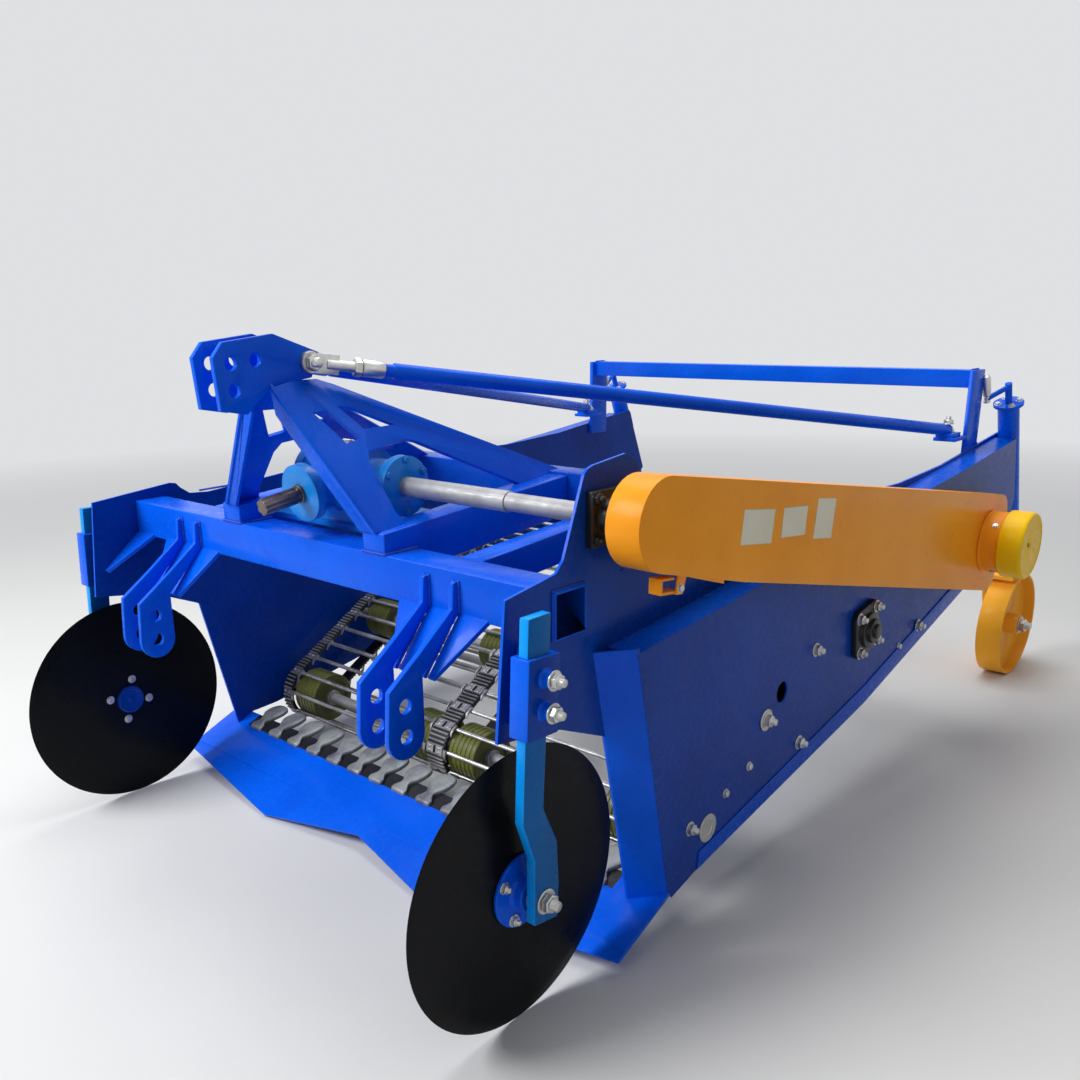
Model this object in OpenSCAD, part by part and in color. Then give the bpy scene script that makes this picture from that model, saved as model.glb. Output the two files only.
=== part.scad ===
// Two-row potato digger: mounted frame, coulter discs, share, rod-link conveyor,
// side drive case and two rear support wheels.
// Millimetres, +Z up, floor at Z = 0, hitch at -Y, guard side at +X.

/* [Side walls] */
// Distance over the outer faces of the two side walls
work_w = 1400; // [1200:10:1600]
// Sheet thickness of the side walls
wall_t = 6; // [4:1:10]
// Width that the outer box panel stands out from the wall
box_w = 65; // [65:1:80]
// Sheet thickness of the box panel
box_t = 4; // [3:0.5:6]
// How far the box panel's front edge lies behind the wall's front edge
box_step = 45; // [30:1:60]

/* [Front beam] */
// Height of the front beam's square tube
beam_s = 85; // [70:1:100]
// Wall of the front beam's tube
beam_t = 6; // [4:0.5:10]
// Height of the beam's top face above the floor
beam_top = 779; // [740:1:800]
// Front face of the beam
beam_y = 70; // [60:1:90]
// How far the beam's open ends stand out of the walls
beam_over = 7; // [3:1:20]

/* [Gearbox rails] */
// Inner face of each rail from the centre
rail_in = 215; // [190:1:240]
// Width of a rail
rail_w = 65; // [50:1:80]
// Height of a rail above the beam's top face
rail_up = 41; // [30:1:60]
// Depth of a rail behind the beam
rail_h = 90; // [60:1:110]
// Rise of the rails to the rear, degrees
rail_rise = 4.6; // [2:0.1:7]
// Inner face of each outer rail from the centre
rail2_in = 400; // [350:1:450]
// Width of an outer rail
rail2_w = 60; // [40:1:70]
// Depth of an outer rail
rail2_h = 65; // [50:1:80]
// Front face of the rear cross channel
channel_y = 620; // [560:1:700]
// Depth of the cross channel from front to back
channel_w = 70; // [50:1:90]
// Height of the cross channel
channel_h = 105; // [90:1:120]
// Sheet thickness of the cross channel
channel_t = 8; // [5:0.5:10]

/* [Mast] */
// Gap between the two mast plates
mast_gap = 58; // [52:1:64]
// Thickness of a mast plate
mast_t = 12; // [10:1:16]
// Radius of the top-link holes
top_r = 13; // [9.5:0.25:16]
// Lean of the leg plates from upright, degrees
leg_lean = 38.2; // [34:0.1:40]
// Thickness of a leg plate
leg_t = 8; // [6:1:12]
// Width of the folded front flange of a leg
leg_flange = 38; // [25:1:45]

/* [Lower hitch] */
// Centre of each pair of hitch plates from the machine's centre
hitch_x = 435; // [410:1:460]
// Gap between the two plates of a pair
hitch_gap = 66; // [56:1:72]
// Thickness of a hitch plate
hitch_t = 12; // [10:1:16]
// Radius of the hitch pin holes
hitch_r = 14.25; // [11:0.25:16]
// Place of the pin holes ahead of the frame origin
hitch_y = -68; // [-80:1:-60]
// Height of the upper pin hole
hitch_z1 = 561; // [555:1:570]
// Height of the lower pin hole
hitch_z2 = 503; // [495:1:510]

/* [Coulter discs] */
// Radius of a coulter disc
disc_r = 262; // [240:1:265]
// Thickness of a coulter disc
disc_t = 6; // [4:1:8]
// Rearmost point of a disc's rim, just ahead of the side wall
disc_back = 247; // [235:1:250]
// Radius of the disc's stub axle
axle_r = 12; // [10:1:16]
// Width of the shank bar seen from the side
shank_w = 55; // [50:1:60]
// Thickness of the shank bar
shank_t = 20; // [16:1:24]
// Top end of the shank
shank_top = 771; // [750:1:790]

/* [Share] */
// Half of the share's width
share_half = 765; // [740:1:790]
// Rear edge of the share
share_y = 352; // [340:1:360]
// Height of the share's top face at its rear edge
share_z = 113; // [105:1:120]
// Slope of the share, degrees
share_slope = 22.5; // [20:0.1:24]
// Thickness of the share
share_t = 10; // [8:1:12]

/* [Fingers] */
// Number of sieve fingers behind the share
finger_n = 15; // [11:1:15]
// Thickness of a finger
finger_t = 10; // [8:1:12]
// How far a finger reaches behind the share's rear edge
finger_out = 80; // [60:1:82]

/* [Conveyor] */
// Diameter of the conveyor's round rods
rod_d = 11; // [9:0.5:13]
// Wanted distance from rod to rod
rod_pitch = 65; // [55:1:75]
// Radius of the rods' path round the end rollers
turn_r = 75; // [68:1:80]
// Gap between the two halves of the web at the centre
web_gap = 2; // [1:0.5:6]
// Gap between a web and the side wall
web_side = 44; // [38:1:60]
// Thickness of a belt where it holds a rod
belt_h = 16; // [14:0.5:18]
// Thickness of a belt between the rods
belt_waist = 9; // [7:0.5:11]
// Width of the belt along each side
belt_edge = 38; // [30:1:45]
// Width of each half of the middle belt
belt_mid = 30; // [24:1:40]

/* [Cross shaft and gearbox] */
// Cross shaft, distance along the machine
cross_y = 205; // [200:1:212]
// Cross shaft, height above the floor
cross_z = 886; // [880:1:890]
// Radius of the cross shaft's outer length
cross_r = 17.5; // [15:0.5:20]
// Radius of the sleeve on the cross shaft
sleeve_r = 20; // [18:0.5:24]
// Nose-down tilt of the gearbox, degrees
gear_tilt = 9; // [4:0.5:10]
// Radius of the power take-off shaft
pto_r = 17.45; // [15:0.05:19]
// Radius of the gearbox's input flange
flange_r = 61; // [55:1:64]

/* [Drive case] */
// Width of the drive case
case_w = 67; // [55:1:80]
// Radius of the case's front end
case_r = 80; // [74:1:84]
// Radius of the drive shaft cap
cap_r = 92; // [80:1:96]
// Length of the drive shaft cap
cap_l = 61; // [45:1:70]

/* [Rear support] */
// Radius of a support wheel
wheel_r = 172; // [160:1:180]
// Width of a support wheel
wheel_w = 77; // [60:1:84]
// Radius of the jack's outer tube
tube_r = 30; // [28:1:32]
// Radius of the sliding leg
leg_r = 25; // [22:0.5:26]
// Rearward lean of the jack from upright, degrees
jack_lean = 21; // [18:0.5:23]
// Height of the top rear cross bar
bar_z = 1010; // [980:1:1030]
// Size of the top rear cross bar's square tube
bar_s = 50; // [40:1:60]
// Diameter of the stay tubes
stay_d = 33; // [28:1:38]

/* [Hidden] */

$fn = 64;
blue = "#0A4FE0";
deep_blue = "#0A3BB4";
light_blue = "#1E8FE0";
gear_blue = "#1090D0";
steel = "#9AA0A6";
orange = "#E8942A";
yellow = "#FFD000";
black = "#15161A";
olive = "#6E7530";

fit = 0.05;            // running clearance on a radius
wall_x = work_w / 2;   // outer face of a side wall
wall_in = wall_x - wall_t;
box_x = wall_x + box_w;
cross_hole = 26;

// Conveyor rollers in the YZ plane, with the radius of the rods' path over them.
nose_c = [515, 153];
knee_c = [782, 322];
knee_r = 62;
drive_c = [1800, 472];
idler_c = [867, 230];
idler_r = 38;
mid_c = [1160, 467];
shaft_r = 15;
// Shafts as [y, z, radius]: those that end behind the box panel, and those that pass it.
inner_axles = [[nose_c[0], nose_c[1], shaft_r], [knee_c[0], knee_c[1], shaft_r],
  [idler_c[0], idler_c[1], 12]];
outer_axles = [[drive_c[0], drive_c[1], 18], [mid_c[0], mid_c[1], 18]];
window = [768, 416, 24];   // round hole in each box panel: y, z, radius
disc_z = disc_r;
disc_y = disc_back - disc_r;
disc_x = wall_x - 6;   // centre plane of a disc
beam_bot = beam_top - beam_s;
beam_back = beam_y + beam_s;
share_tan = tan(share_slope);
function share_top(y) = share_z - (share_y - y) * share_tan;
function rail_top(y) = beam_top + rail_up + (y - beam_y) * tan(rail_rise);

// Side-wall corners, from the nose along the top to the rear, then back below.
nose = [[-67, 552], [-43, 789]];
top_bump = [[81, 808], [100, 827], [153, 962], [163, 971], [177, 975], [267, 985], [298, 972],
  [395, 800]];
top_plain = [[172, 811], [188, 808], [200, 795], [226, 777], [282, 773], [359, 779]];
top_rear = [[522, 793], [1471, 776], [1755, 790], [2190, 838]];
low_rear = [[2292, 600], [2190, 512]];
low_edge = [[1832, 421], [1199, 256], [440, 118]];
foot = [[share_y, share_z], [303, share_top(303)]];
under_nose = [[218, 473], [90, 528]];
box_top = [[1755, 784], [2150, 826]];
box_rear = [[2205, 640], [2165, 503]];

jack_top = [2150, 925];
axle_at = (jack_top[1] - wheel_r) / cos(jack_lean);
cap_base = 53;

// The row's origin lies on the floor, in the middle of the whole machine.
stub_len = 42;
wheel_y = jack_top[0] + axle_at * sin(jack_lean);
middle_x = (box_x + case_w + cap_base + cap_l - box_x - stub_len) / 2;
middle_y = (disc_y - disc_r + wheel_y + wheel_r) / 2;
module placed() {
  translate([-middle_x, -middle_y, 0]) children();
}

module mirror_copy() {
  children();
  mirror([1, 0, 0]) children();
}

// A profile drawn in the YZ plane, thickness t from x towards +X.
module plate_x(x, t, points) {
  translate([x, 0, 0]) rotate([90, 0, 90]) linear_extrude(t) polygon(points);
}

// A round bar along X.
module bar_x(x, y, z, r, l) {
  translate([x, y, z]) rotate([0, 90, 0]) cylinder(r = r, h = l);
}

// A round bar from p to q.
module rod_between(p, q, r) {
  d = q - p;
  l = norm(d);
  translate(p) rotate([0, acos(d[2] / l), atan2(d[1], d[0])]) cylinder(r = r, h = l);
}

// A flat bar from p to q, w wide across and t thick.
module flat_between(p, q, w, t) {
  d = q - p;
  l = norm(d);
  translate(p) rotate([0, acos(d[2] / l), atan2(d[1], d[0])])
    translate([-t / 2, -w / 2, 0]) cube([t, w, l]);
}

function arc(c, r, a0, a1, n) = [for (i = [0:n]) let (a = a0 + (a1 - a0) * i / n)
  [c[0] + r * cos(a), c[1] + r * sin(a)]];

module beam_core(grow = 0) {
  translate([-wall_x - beam_over, beam_y - grow, beam_bot - grow])
    cube([work_w + 2 * beam_over, beam_s + 2 * grow, beam_s + 2 * grow]);
}

module front_beam() placed() {
  color(blue) difference() {
    beam_core();
    translate([-wall_x - beam_over - 1, beam_y + beam_t, beam_bot + beam_t])
      cube([work_w + 2 * beam_over + 2, beam_s - 2 * beam_t, beam_s - 2 * beam_t]);
  }
}

// One side wall, standing at +X.
module side_wall(top) {
  color(deep_blue) difference() {
    plate_x(wall_in, wall_t, concat(nose, top, top_rear, low_rear, low_edge, foot, under_nose));
    beam_core();
    for (a = concat(inner_axles, outer_axles)) bar_x(wall_in - 1, a[0], a[1], a[2], wall_t + 2);
  }
}

module side_wall_left() placed() {
  difference() {
    side_wall(top_bump);
    bar_x(wall_in - 1, cross_y, cross_z, cross_hole, wall_t + 2);
  }
}

module side_wall_right() placed() {
  mirror([1, 0, 0]) side_wall(top_plain);
}

// Front edge of the box panel and of the wall behind it, as a leaning line.
box_front_low = 93;
box_front_high = 645;
function front_edge(z) = 303 + (z - 93) * (180 - 303) / (643 - 93);
box_lean = atan((303 - 180) / (643 - 93));

module side_box() {
  front = [[front_edge(box_front_high) + box_step, box_front_high],
    [front_edge(box_front_low) + box_step, box_front_low]];
  outline = concat([front[0]], box_top, box_rear, low_edge, [front[1]]);
  color(blue) union() {
    difference() {
      plate_x(box_x - box_t, box_t, outline);
      for (a = concat(outer_axles, [window])) bar_x(box_x - box_t - 1, a[0], a[1], a[2], box_t + 2);
    }
    // ledge along the top
    plate_x(wall_x, box_w - 1, [front[0], box_top[0], box_top[1], box_top[1] - [0, box_t],
      box_top[0] - [0, box_t], front[0] - [0, box_t]]);
    // flange along the bottom
    plate_x(wall_x, box_w - 1, concat([box_rear[1]], low_edge,
      [for (i = [2:-1:0]) low_edge[i] + [0, box_t]], [box_rear[1] + [0, box_t]]));
    front_strip();
  }
}

// Slanted strip that closes the box at the front.
module front_strip() {
  len = (box_front_high - box_front_low + 30) / cos(box_lean);
  translate([wall_x, front_edge(box_front_high), box_front_high])
    rotate([box_lean, 0, 0]) mirror([0, 0, 1]) linear_extrude(len)
      polygon([[0, 0], [box_w, box_step], [box_w, box_step + 5], [0, 5]]);
}

module side_box_cut() {
  difference() {
    side_box();
    share_frame() translate([wall_x - 10, -300, -200]) cube([box_w + 20, 301, 200]);
  }
}

module side_box_left() placed() side_box_cut();
module side_box_right() placed() mirror([1, 0, 0]) side_box_cut();

module gearbox_rails() placed() {
  color(deep_blue) mirror_copy() {
    plate_x(rail_in, rail_w, [[beam_y, beam_top], [beam_y, rail_top(beam_y)],
      [channel_y, rail_top(channel_y)], [channel_y, rail_top(channel_y) - rail_h],
      [beam_back, beam_top - rail_h + 45], [beam_back, beam_top]]);
    plate_x(rail2_in, rail2_w, [[beam_back, beam_top], [channel_y, beam_top + 35],
      [channel_y, beam_top + 35 - rail2_h], [beam_back, beam_top - rail2_h]]);
  }
}

channel_top = rail_top(channel_y) + 6;
module cross_channel() placed() {
  x = wall_in;
  z0 = channel_top - channel_h;
  color(deep_blue) difference() {
    translate([-x, channel_y, z0]) cube([2 * x, channel_w, channel_h]);
    translate([-x - 1, channel_y + channel_t, z0 - 1])
      cube([2 * x + 2, channel_w - 2 * channel_t, channel_h + 1 - channel_t]);
  }
}

mast_points = [[-108, 1053], [-116, 1150], [-92, 1178], [20, 1190], [128, 1151], [105, 1103],
  [8, 1091], [-51, 1042]];
mast_holes = [[-79, 1138], [-24, 1143], [-75, 1088]];
stay_hole = [98, 1133];
stay_pin_r = 10;

module mast_plates() placed() {
  pin_l = mast_gap + 2 * mast_t + 2 * stay_eye_t;
  color(blue) {
    difference() {
      mirror_copy() plate_x(mast_gap / 2, mast_t, mast_points);
      for (h = mast_holes) bar_x(-mast_gap, h[0], h[1], top_r, 2 * mast_gap);
    }
    translate([-mast_gap / 2 - 1, 2, 1100]) cube([mast_gap + 2, 70, 14]);
  }
  color(steel) bar_x(-pin_l / 2, stay_hole[0], stay_hole[1], stay_pin_r, pin_l);
}

leg_top_x = 45;
leg_top_z = 1095;
function leg_p(z) = (leg_top_z - z) / cos(leg_lean);

// Leg plate: sloping web with two windows and a folded front flange.
module leg_plate() {
  web = [[0, leg_p(1090)], [98, leg_p(1106)], [150, leg_p(1088)], [668, leg_p(866)],
    [668, leg_p(856)], [521, leg_p(850)], [281, leg_p(967)], [262, leg_p(972)],
    [150, leg_p(960)], [138, leg_p(940)], [138, leg_p(850)], [154, leg_p(815)],
    [66, leg_p(810)]];
  window1 = [[66, leg_p(1040)], [104, leg_p(1040)], [146, leg_p(985)], [108, leg_p(978)]];
  window2 = [[132, leg_p(1046)], [158, leg_p(1044)], [250, leg_p(1002)], [168, leg_p(1000)]];
  color(blue) difference() {
    union() {
      translate([leg_top_x, 0, leg_top_z]) rotate([0, -90 - leg_lean, 0]) rotate([0, 0, 90])
        linear_extrude(leg_t) difference() {
          polygon(web);
          polygon(window1);
          polygon(window2);
        }
      leg_front_flange();
    }
    // seat on the rail
    plate_x(rail_in - 60, rail_w + 160, [[0, rail_top(0)], [900, rail_top(900)],
      [900, 600], [0, 600]]);
    // seat against the cross channel
    translate([-wall_in, channel_y, channel_top - channel_h]) cube([2 * wall_in, channel_w, channel_h]);
    // seat on the mast plate
    translate([-200, -200, 900]) cube([200 + mast_gap / 2 + mast_t, 500, 400]);
  }
}

module leg_front_flange() {
  top = [leg_top_x - 2, 2, 1088];
  low = [leg_top_x + (leg_top_z - 810) * tan(leg_lean) - 2, 68, 810];
  intersection() {
    translate([-leg_flange / 2, 0, 0]) flat_between_y(top, low, leg_flange, 8);
    translate([0, -100, 700]) cube([400, 400, 420]);
  }
}

// A flat bar from p to q that shows its width w to the front.
module flat_between_y(p, q, w, t) {
  d = q - p;
  l = norm(d);
  lean_x = atan2(d[0], -d[2]);
  lean_y = asin(d[1] / l);
  translate(p) rotate([0, -lean_x, 0]) rotate([lean_y, 0, 0])
    translate([-w / 2, 0, -l]) cube([w, t, l]);
}

module leg_plate_left() placed() leg_plate();
module leg_plate_right() placed() mirror([1, 0, 0]) leg_plate();

hitch_half = 43;
hitch_points = concat(
  [[beam_y, beam_top - 2], [15, beam_top - 4], [-36, 734], [hitch_y - hitch_half, 591]],
  arc([hitch_y, hitch_z2], hitch_half, 180, 360, 12),
  [[hitch_y + hitch_half, 606], [beam_y, beam_bot + 6]]);

module hitch(side) {
  inner = hitch_x - hitch_gap / 2;
  outer = hitch_x + hitch_gap / 2;
  mirror([side < 0 ? 1 : 0, 0, 0]) color(blue) difference() {
    union() {
      plate_x(inner - hitch_t, hitch_t, hitch_points);
      plate_x(outer, hitch_t, hitch_points);
      translate([inner - 1, 20, 690]) cube([hitch_gap + 2, 12, 60]);
      // side brace
      brace_x = side < 0 ? inner - hitch_t + 3 : outer + hitch_t - 3;
      lean = side < 0 ? -75 : 75;
      flat_between([brace_x, hitch_y + 15, 602], [brace_x + lean, beam_y + 25, 730], 34, 12);
    }
    for (z = [hitch_z1, hitch_z2]) bar_x(inner - 50, hitch_y, z, hitch_r, hitch_gap + 100);
    beam_core();
  }
}

module hitch_left() placed() hitch(1);
module hitch_right() placed() hitch(-1);

shank_x = wall_x + 36;
shank_front = -79;
clamp_z0 = 571;
clamp_z1 = 706;
clamp_wall = 10;

// Sleeve round the shank, held off the wall by a spacer behind its front edge.
module shank_clamp() {
  sleeve_x = shank_x - clamp_wall;
  height = clamp_z1 - clamp_z0;
  color(blue) difference() {
    union() {
      translate([sleeve_x, shank_front - clamp_wall, clamp_z0])
        cube([shank_t + 2 * clamp_wall, shank_w + 2 * clamp_wall, height]);
      translate([wall_x, shank_front + 32, clamp_z0]) cube([sleeve_x - wall_x + 1, shank_w - 32, height]);
    }
    translate([shank_x, shank_front, clamp_z0 - 1]) cube([shank_t, shank_w, height + 2]);
  }
}

module shank() {
  back = shank_front + shank_w;
  low_back = disc_y + 30;
  color(light_blue) union() {
    plate_x(shank_x, shank_t, concat(
      [[shank_front, shank_top], [back, shank_top], [back, 440], [low_back, 360]],
      arc([disc_y, disc_z - 8], 30, 0, -180, 10), [[disc_y - 33, 350], [shank_front, 440]]));
    bar_x(disc_x - disc_t / 2 - 3, disc_y, disc_z, axle_r, shank_x - disc_x + disc_t / 2 + 4);
  }
}

hub_r = 68;
hub_len = 30;
inner_cap_r = 36;

module disc() {
  face = disc_x + disc_t / 2;
  color(black) difference() {
    union() {
      bar_x(disc_x - disc_t / 2, disc_y, disc_z, disc_r, disc_t);
      bar_x(face - 1, disc_y, disc_z, hub_r, 9);
      bar_x(face, disc_y, disc_z, 31, hub_len);
      bar_x(disc_x - disc_t / 2 - 10, disc_y, disc_z, inner_cap_r, 11);
    }
    bar_x(disc_x - disc_t / 2 - 6, disc_y, disc_z, axle_r + fit, hub_len + 40);
  }
}

module shank_clamp_left() placed() shank_clamp();
module shank_clamp_right() placed() mirror([1, 0, 0]) shank_clamp();
module shank_left() placed() shank();
module shank_right() placed() mirror([1, 0, 0]) shank();
module disc_left() placed() disc();
module disc_right() placed() mirror([1, 0, 0]) disc();

// Front edge of the share as [x, y] over one half: tip, shoulder, point, centre notch.
share_edge = [[share_half, 195], [430, 133], [300, 110], [0, 172]];
function share_v(y) = (share_y - y) / cos(share_slope);

// Frame with its origin on the share's rear top edge, Y down the slope's line to the rear.
module share_frame() {
  translate([0, share_y, share_z]) rotate([share_slope, 0, 0]) children();
}

crease_y = 205;     // where the blade meets the carrier plate
blade_step = 2.5;   // how much lower the blade's top lies
module share() placed() {
  half = [for (p = share_edge) [p[0], share_v(p[1])]];
  mirrored = [for (i = [2:-1:0]) [-half[i][0], half[i][1]]];
  color(blue) share_frame() mirror([0, 1, 0]) difference() {
    translate([0, 0, -share_t]) linear_extrude(share_t)
      polygon(concat([[share_half, 0]], half, mirrored, [[-share_half, 0]]));
    translate([-share_half - 1, share_v(crease_y), -blade_step])
      cube([2 * share_half + 2, 200, share_t]);
  }
}

finger_back = 50;   // how far a finger starts ahead of the share's rear edge
finger_rise = 3;    // rise of a finger's level part
// Half width of a finger along its length: [share of the length, half width].
finger_shape = [[0, 26], [0.1, 26], [0.22, 15], [0.32, 14], [0.46, 26], [0.66, 29],
  [0.86, 24], [1, 16]];

// One waisted finger, bent level where it leaves the share.
module finger() {
  front = share_y - finger_back * cos(share_slope);
  back = share_y + finger_out;
  right = [for (s = finger_shape) [s[1], front + s[0] * (back - front)]];
  left = [for (i = [len(right) - 1:-1:0]) [-right[i][0], right[i][1]]];
  side = [[front, share_top(front)], [share_y, share_z], [back, share_z + finger_rise],
    [back, share_z + finger_rise + finger_t - 3], [share_y - 2, share_z + finger_t],
    [front, share_top(front) + finger_t]];
  intersection() {
    plate_x(-40, 80, side);
    linear_extrude(400) polygon(concat(right, left));
  }
}

// Row of fingers across the mouth.
module sieve_fingers() placed() {
  span = 2 * (wall_in - 82);
  color(steel) for (i = [0:finger_n - 1])
    translate([-span / 2 + i * span / (finger_n - 1), 0, 0]) finger();
}

// Rollers of the rod web: y, z, radius of the rods' path (negative when the web bends back).
web_rollers = [[nose_c[0], nose_c[1], turn_r], [knee_c[0], knee_c[1], knee_r],
  [drive_c[0], drive_c[1], turn_r], [idler_c[0], idler_c[1], -idler_r]];
web_n = len(web_rollers);
function roller(i) = web_rollers[(i + web_n) % web_n];
function run_dir(i) = let (a = roller(i), b = roller(i + 1), d = [b[0] - a[0], b[1] - a[1]])
  atan2(d[1], d[0]) - asin((a[2] - b[2]) / norm(d));
function left_of(dir) = [-sin(dir), cos(dir)];
function run_start(i) = let (a = roller(i)) [a[0], a[1]] + a[2] * left_of(run_dir(i));
function run_end(i) = let (b = roller(i + 1)) [b[0], b[1]] + b[2] * left_of(run_dir(i));
function run_len(i) = norm(run_end(i) - run_start(i));
function wrap(a) = a > 180 ? wrap(a - 360) : (a <= -180 ? wrap(a + 360) : a);
function turn(i) = let (t = wrap(run_dir(i + 1) - run_dir(i)), r = roller(i + 1)[2])
  (r > 0 && t > 0) ? t - 360 : t;
function turn_len(i) = -roller(i + 1)[2] * turn(i) * PI / 180;
function lengths() = [for (i = [0:web_n - 1]) [run_len(i), turn_len(i)]];
function sum_to(i) = i <= 0 ? 0 : sum_to(i - 1) + run_len(i - 1) + turn_len(i - 1);
web_len = sum_to(web_n);
rod_n = round(web_len / rod_pitch);
// Point of the web's path at distance s from the start of run i.
function on_path(s, i = 0) = s > run_len(i) + turn_len(i) && i < web_n - 1
  ? on_path(s - run_len(i) - turn_len(i), i + 1)
  : (s <= run_len(i)
    ? run_start(i) + s * [cos(run_dir(i)), sin(run_dir(i))]
    : let (b = roller(i + 1), a = run_dir(i) + turn(i) * (s - run_len(i)) / turn_len(i))
      [b[0], b[1]] + b[2] * left_of(a));
rod_points = [for (k = [0:rod_n - 1]) on_path(k * web_len / rod_n)];

web_in = web_gap / 2;
web_out = wall_in - web_side;

// The loop is made of one section for each run and each end wrap. Each section starts at
// a place on the path, and a small gap parts it from the next half way between two rods.
section_gap = 0.3;
starts = [0, run_len(0) + turn_len(0) / 2, sum_to(2) - turn_len(1), sum_to(2),
  sum_to(3) - turn_len(2) / 2, sum_to(4) - turn_len(3)];
function first_rod(i) = i >= len(starts) ? rod_n : ceil(starts[i] * rod_n / web_len - 0.001);
function rod(k) = rod_points[(k + rod_n) % rod_n];
function half_way(k) = (rod(k) + rod(k + 1)) / 2;
function along(k) = let (d = rod(k + 1) - rod(k)) d / norm(d);
function across(d) = [-d[1], d[0]];

// Face of a belt, thick at the rods and thin between them, from rod a to rod b.
function belt_face(a, b, side) = concat(
  [half_way(a - 1) + section_gap / 2 * along(a - 1) + side * belt_waist / 2 * across(along(a - 1))],
  [for (k = [a:b]) each concat(
    [rod(k) + side * belt_h / 2 * across((along(k - 1) + along(k)) / norm(along(k - 1) + along(k)))],
    k < b ? [half_way(k) + side * belt_waist / 2 * across(along(k))] : [])],
  [half_way(b) - section_gap / 2 * along(b) + side * belt_waist / 2 * across(along(b))]);
function reversed(v) = [for (i = [len(v) - 1:-1:0]) v[i]];

// Rods a to b with the belts that hold their ends.
module web_section(a, b) {
  outline = concat(belt_face(a, b, -1), reversed(belt_face(a, b, 1)));
  rod_from = web_in + belt_mid - 1;
  plate_x(web_in, belt_mid, outline);
  plate_x(web_out - belt_edge, belt_edge, outline);
  for (k = [a:b]) translate([rod_from, rod(k)[0], rod(k)[1]]) rotate([0, 90, 0])
    cylinder(d = rod_d, h = web_out - belt_edge + 1 - rod_from, $fn = 6);
}

module rod_web() {
  color(steel) for (i = [0:len(starts) - 1]) web_section(first_rod(i), first_rod(i + 1) - 1);
}

module rod_web_left() placed() rod_web();
module rod_web_right() placed() mirror([1, 0, 0]) rod_web();

roller_w = 90;
roller_x = [web_in + belt_mid + 4, web_out - belt_edge - 4 - roller_w];

// A shaft through both walls, with rollers beside the belts.
module roller_shaft(c, r_shaft, r_roller, reach = wall_x + 14) {
  color(steel) bar_x(-reach, c[0], c[1], r_shaft, 2 * reach);
  color(olive) mirror_copy() for (x = roller_x) bar_x(x, c[0], c[1], r_roller, roller_w);
}

function under_rods(path_r) = path_r - rod_d / 2;

module nose_rollers() placed() roller_shaft(nose_c, shaft_r, under_rods(turn_r));

module carrier_rollers() placed() {
  roller_shaft(knee_c, shaft_r, under_rods(knee_r));
  roller_shaft(idler_c, 12, under_rods(idler_r));
}

module drive_rollers() placed() roller_shaft(drive_c, 18, under_rods(turn_r), box_x);

// Gearbox, drawn level round the cross shaft and then tilted nose down.
gear_half = 90;
gear_front = 122;
input_r = 20;
module gear_frame() {
  translate([0, cross_y, cross_z]) rotate([gear_tilt, 0, 0]) children();
}

module gearbox() placed() {
  color(gear_blue) gear_frame() difference() {
    union() {
      // housing round the cross shaft
      rotate([0, 90, 0]) translate([0, 0, -gear_half]) cylinder(r = 72, h = 2 * gear_half);
      // output flange and hub
      rotate([0, 90, 0]) translate([0, 0, gear_half - 1]) cylinder(r = 50, h = 90);
      rotate([0, 90, 0]) translate([0, 0, 176]) cylinder(r = 62, h = 22);
      rotate([0, 90, 0]) translate([0, 0, -gear_half - 14]) cylinder(r = 60, h = 16);
      // input neck and flange
      rotate([90, 0, 0]) cylinder(r = 48, h = gear_front - 16);
      rotate([90, 0, 0]) translate([0, 0, gear_front - 22]) cylinder(r = flange_r, h = 22);
      // foot
      translate([-gear_half, -45, -82]) cube([2 * gear_half, 110, 60]);
    }
    rotate([90, 0, 0]) translate([0, 0, 30]) cylinder(r = input_r + fit, h = 200);
    rotate([0, 90, 0]) translate([0, 0, 20]) cylinder(r = sleeve_r + fit, h = 300);
  }
  color(deep_blue) gear_frame() translate([-rail_in, -60, -94]) cube([2 * rail_in, 150, 12]);
}

pto_out = 97;
// Splined input shaft.
module input_shaft() placed() {
  color(steel) gear_frame() rotate([90, 0, 0]) {
    translate([0, 0, 34]) cylinder(r = input_r, h = gear_front - 34 + 6);
    difference() {
      translate([0, 0, gear_front]) cylinder(r = pto_r, h = pto_out);
      for (i = [0:5]) rotate([0, 0, 60 * i]) translate([pto_r - 2.6, -4, gear_front + 12])
        cube([10, 8, pto_out]);
    }
  }
}

cross_end = box_x + 30;
module cross_shaft() placed() {
  color(steel) {
    bar_x(24, cross_y, cross_z, sleeve_r, 460);
    bar_x(480, cross_y, cross_z, cross_r, cross_end - 480);
  }
}

module shaft_bearing() placed() {
  color(black) difference() {
    union() {
      translate([wall_x, cross_y - 48, cross_z - 48]) cube([14, 96, 96]);
      bar_x(wall_x, cross_y, cross_z, 32, 32);
    }
    bar_x(wall_x - 1, cross_y, cross_z, cross_r + fit, 60);
  }
}

// Outline of the drive case: small round front end, deeper rear end.
case_front = [cross_y, cross_z];
case_top = [1868, 645];
case_low = [1830, 492];
cap_c = [1790, 585];
case_end_r = 58;
function case_outline(d) = concat(
  arc(case_front, case_r - d, 261 - 3, 99 - 15, 16),
  arc(case_top, case_end_r - d, 81, 0, 8),
  arc(case_low, case_end_r - d, 0, -103, 8),
  [[462, 738 + d]]);

module drive_case() placed() {
  color(orange) difference() {
    plate_x(box_x, case_w, case_outline(0));
    plate_x(box_x + 3, case_w - 6, case_outline(3));
    bar_x(box_x - 1, cross_y, cross_z, cross_hole, 5);
    bar_x(box_x - 1, drive_c[0], drive_c[1], 18, 5);
  }
}

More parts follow.
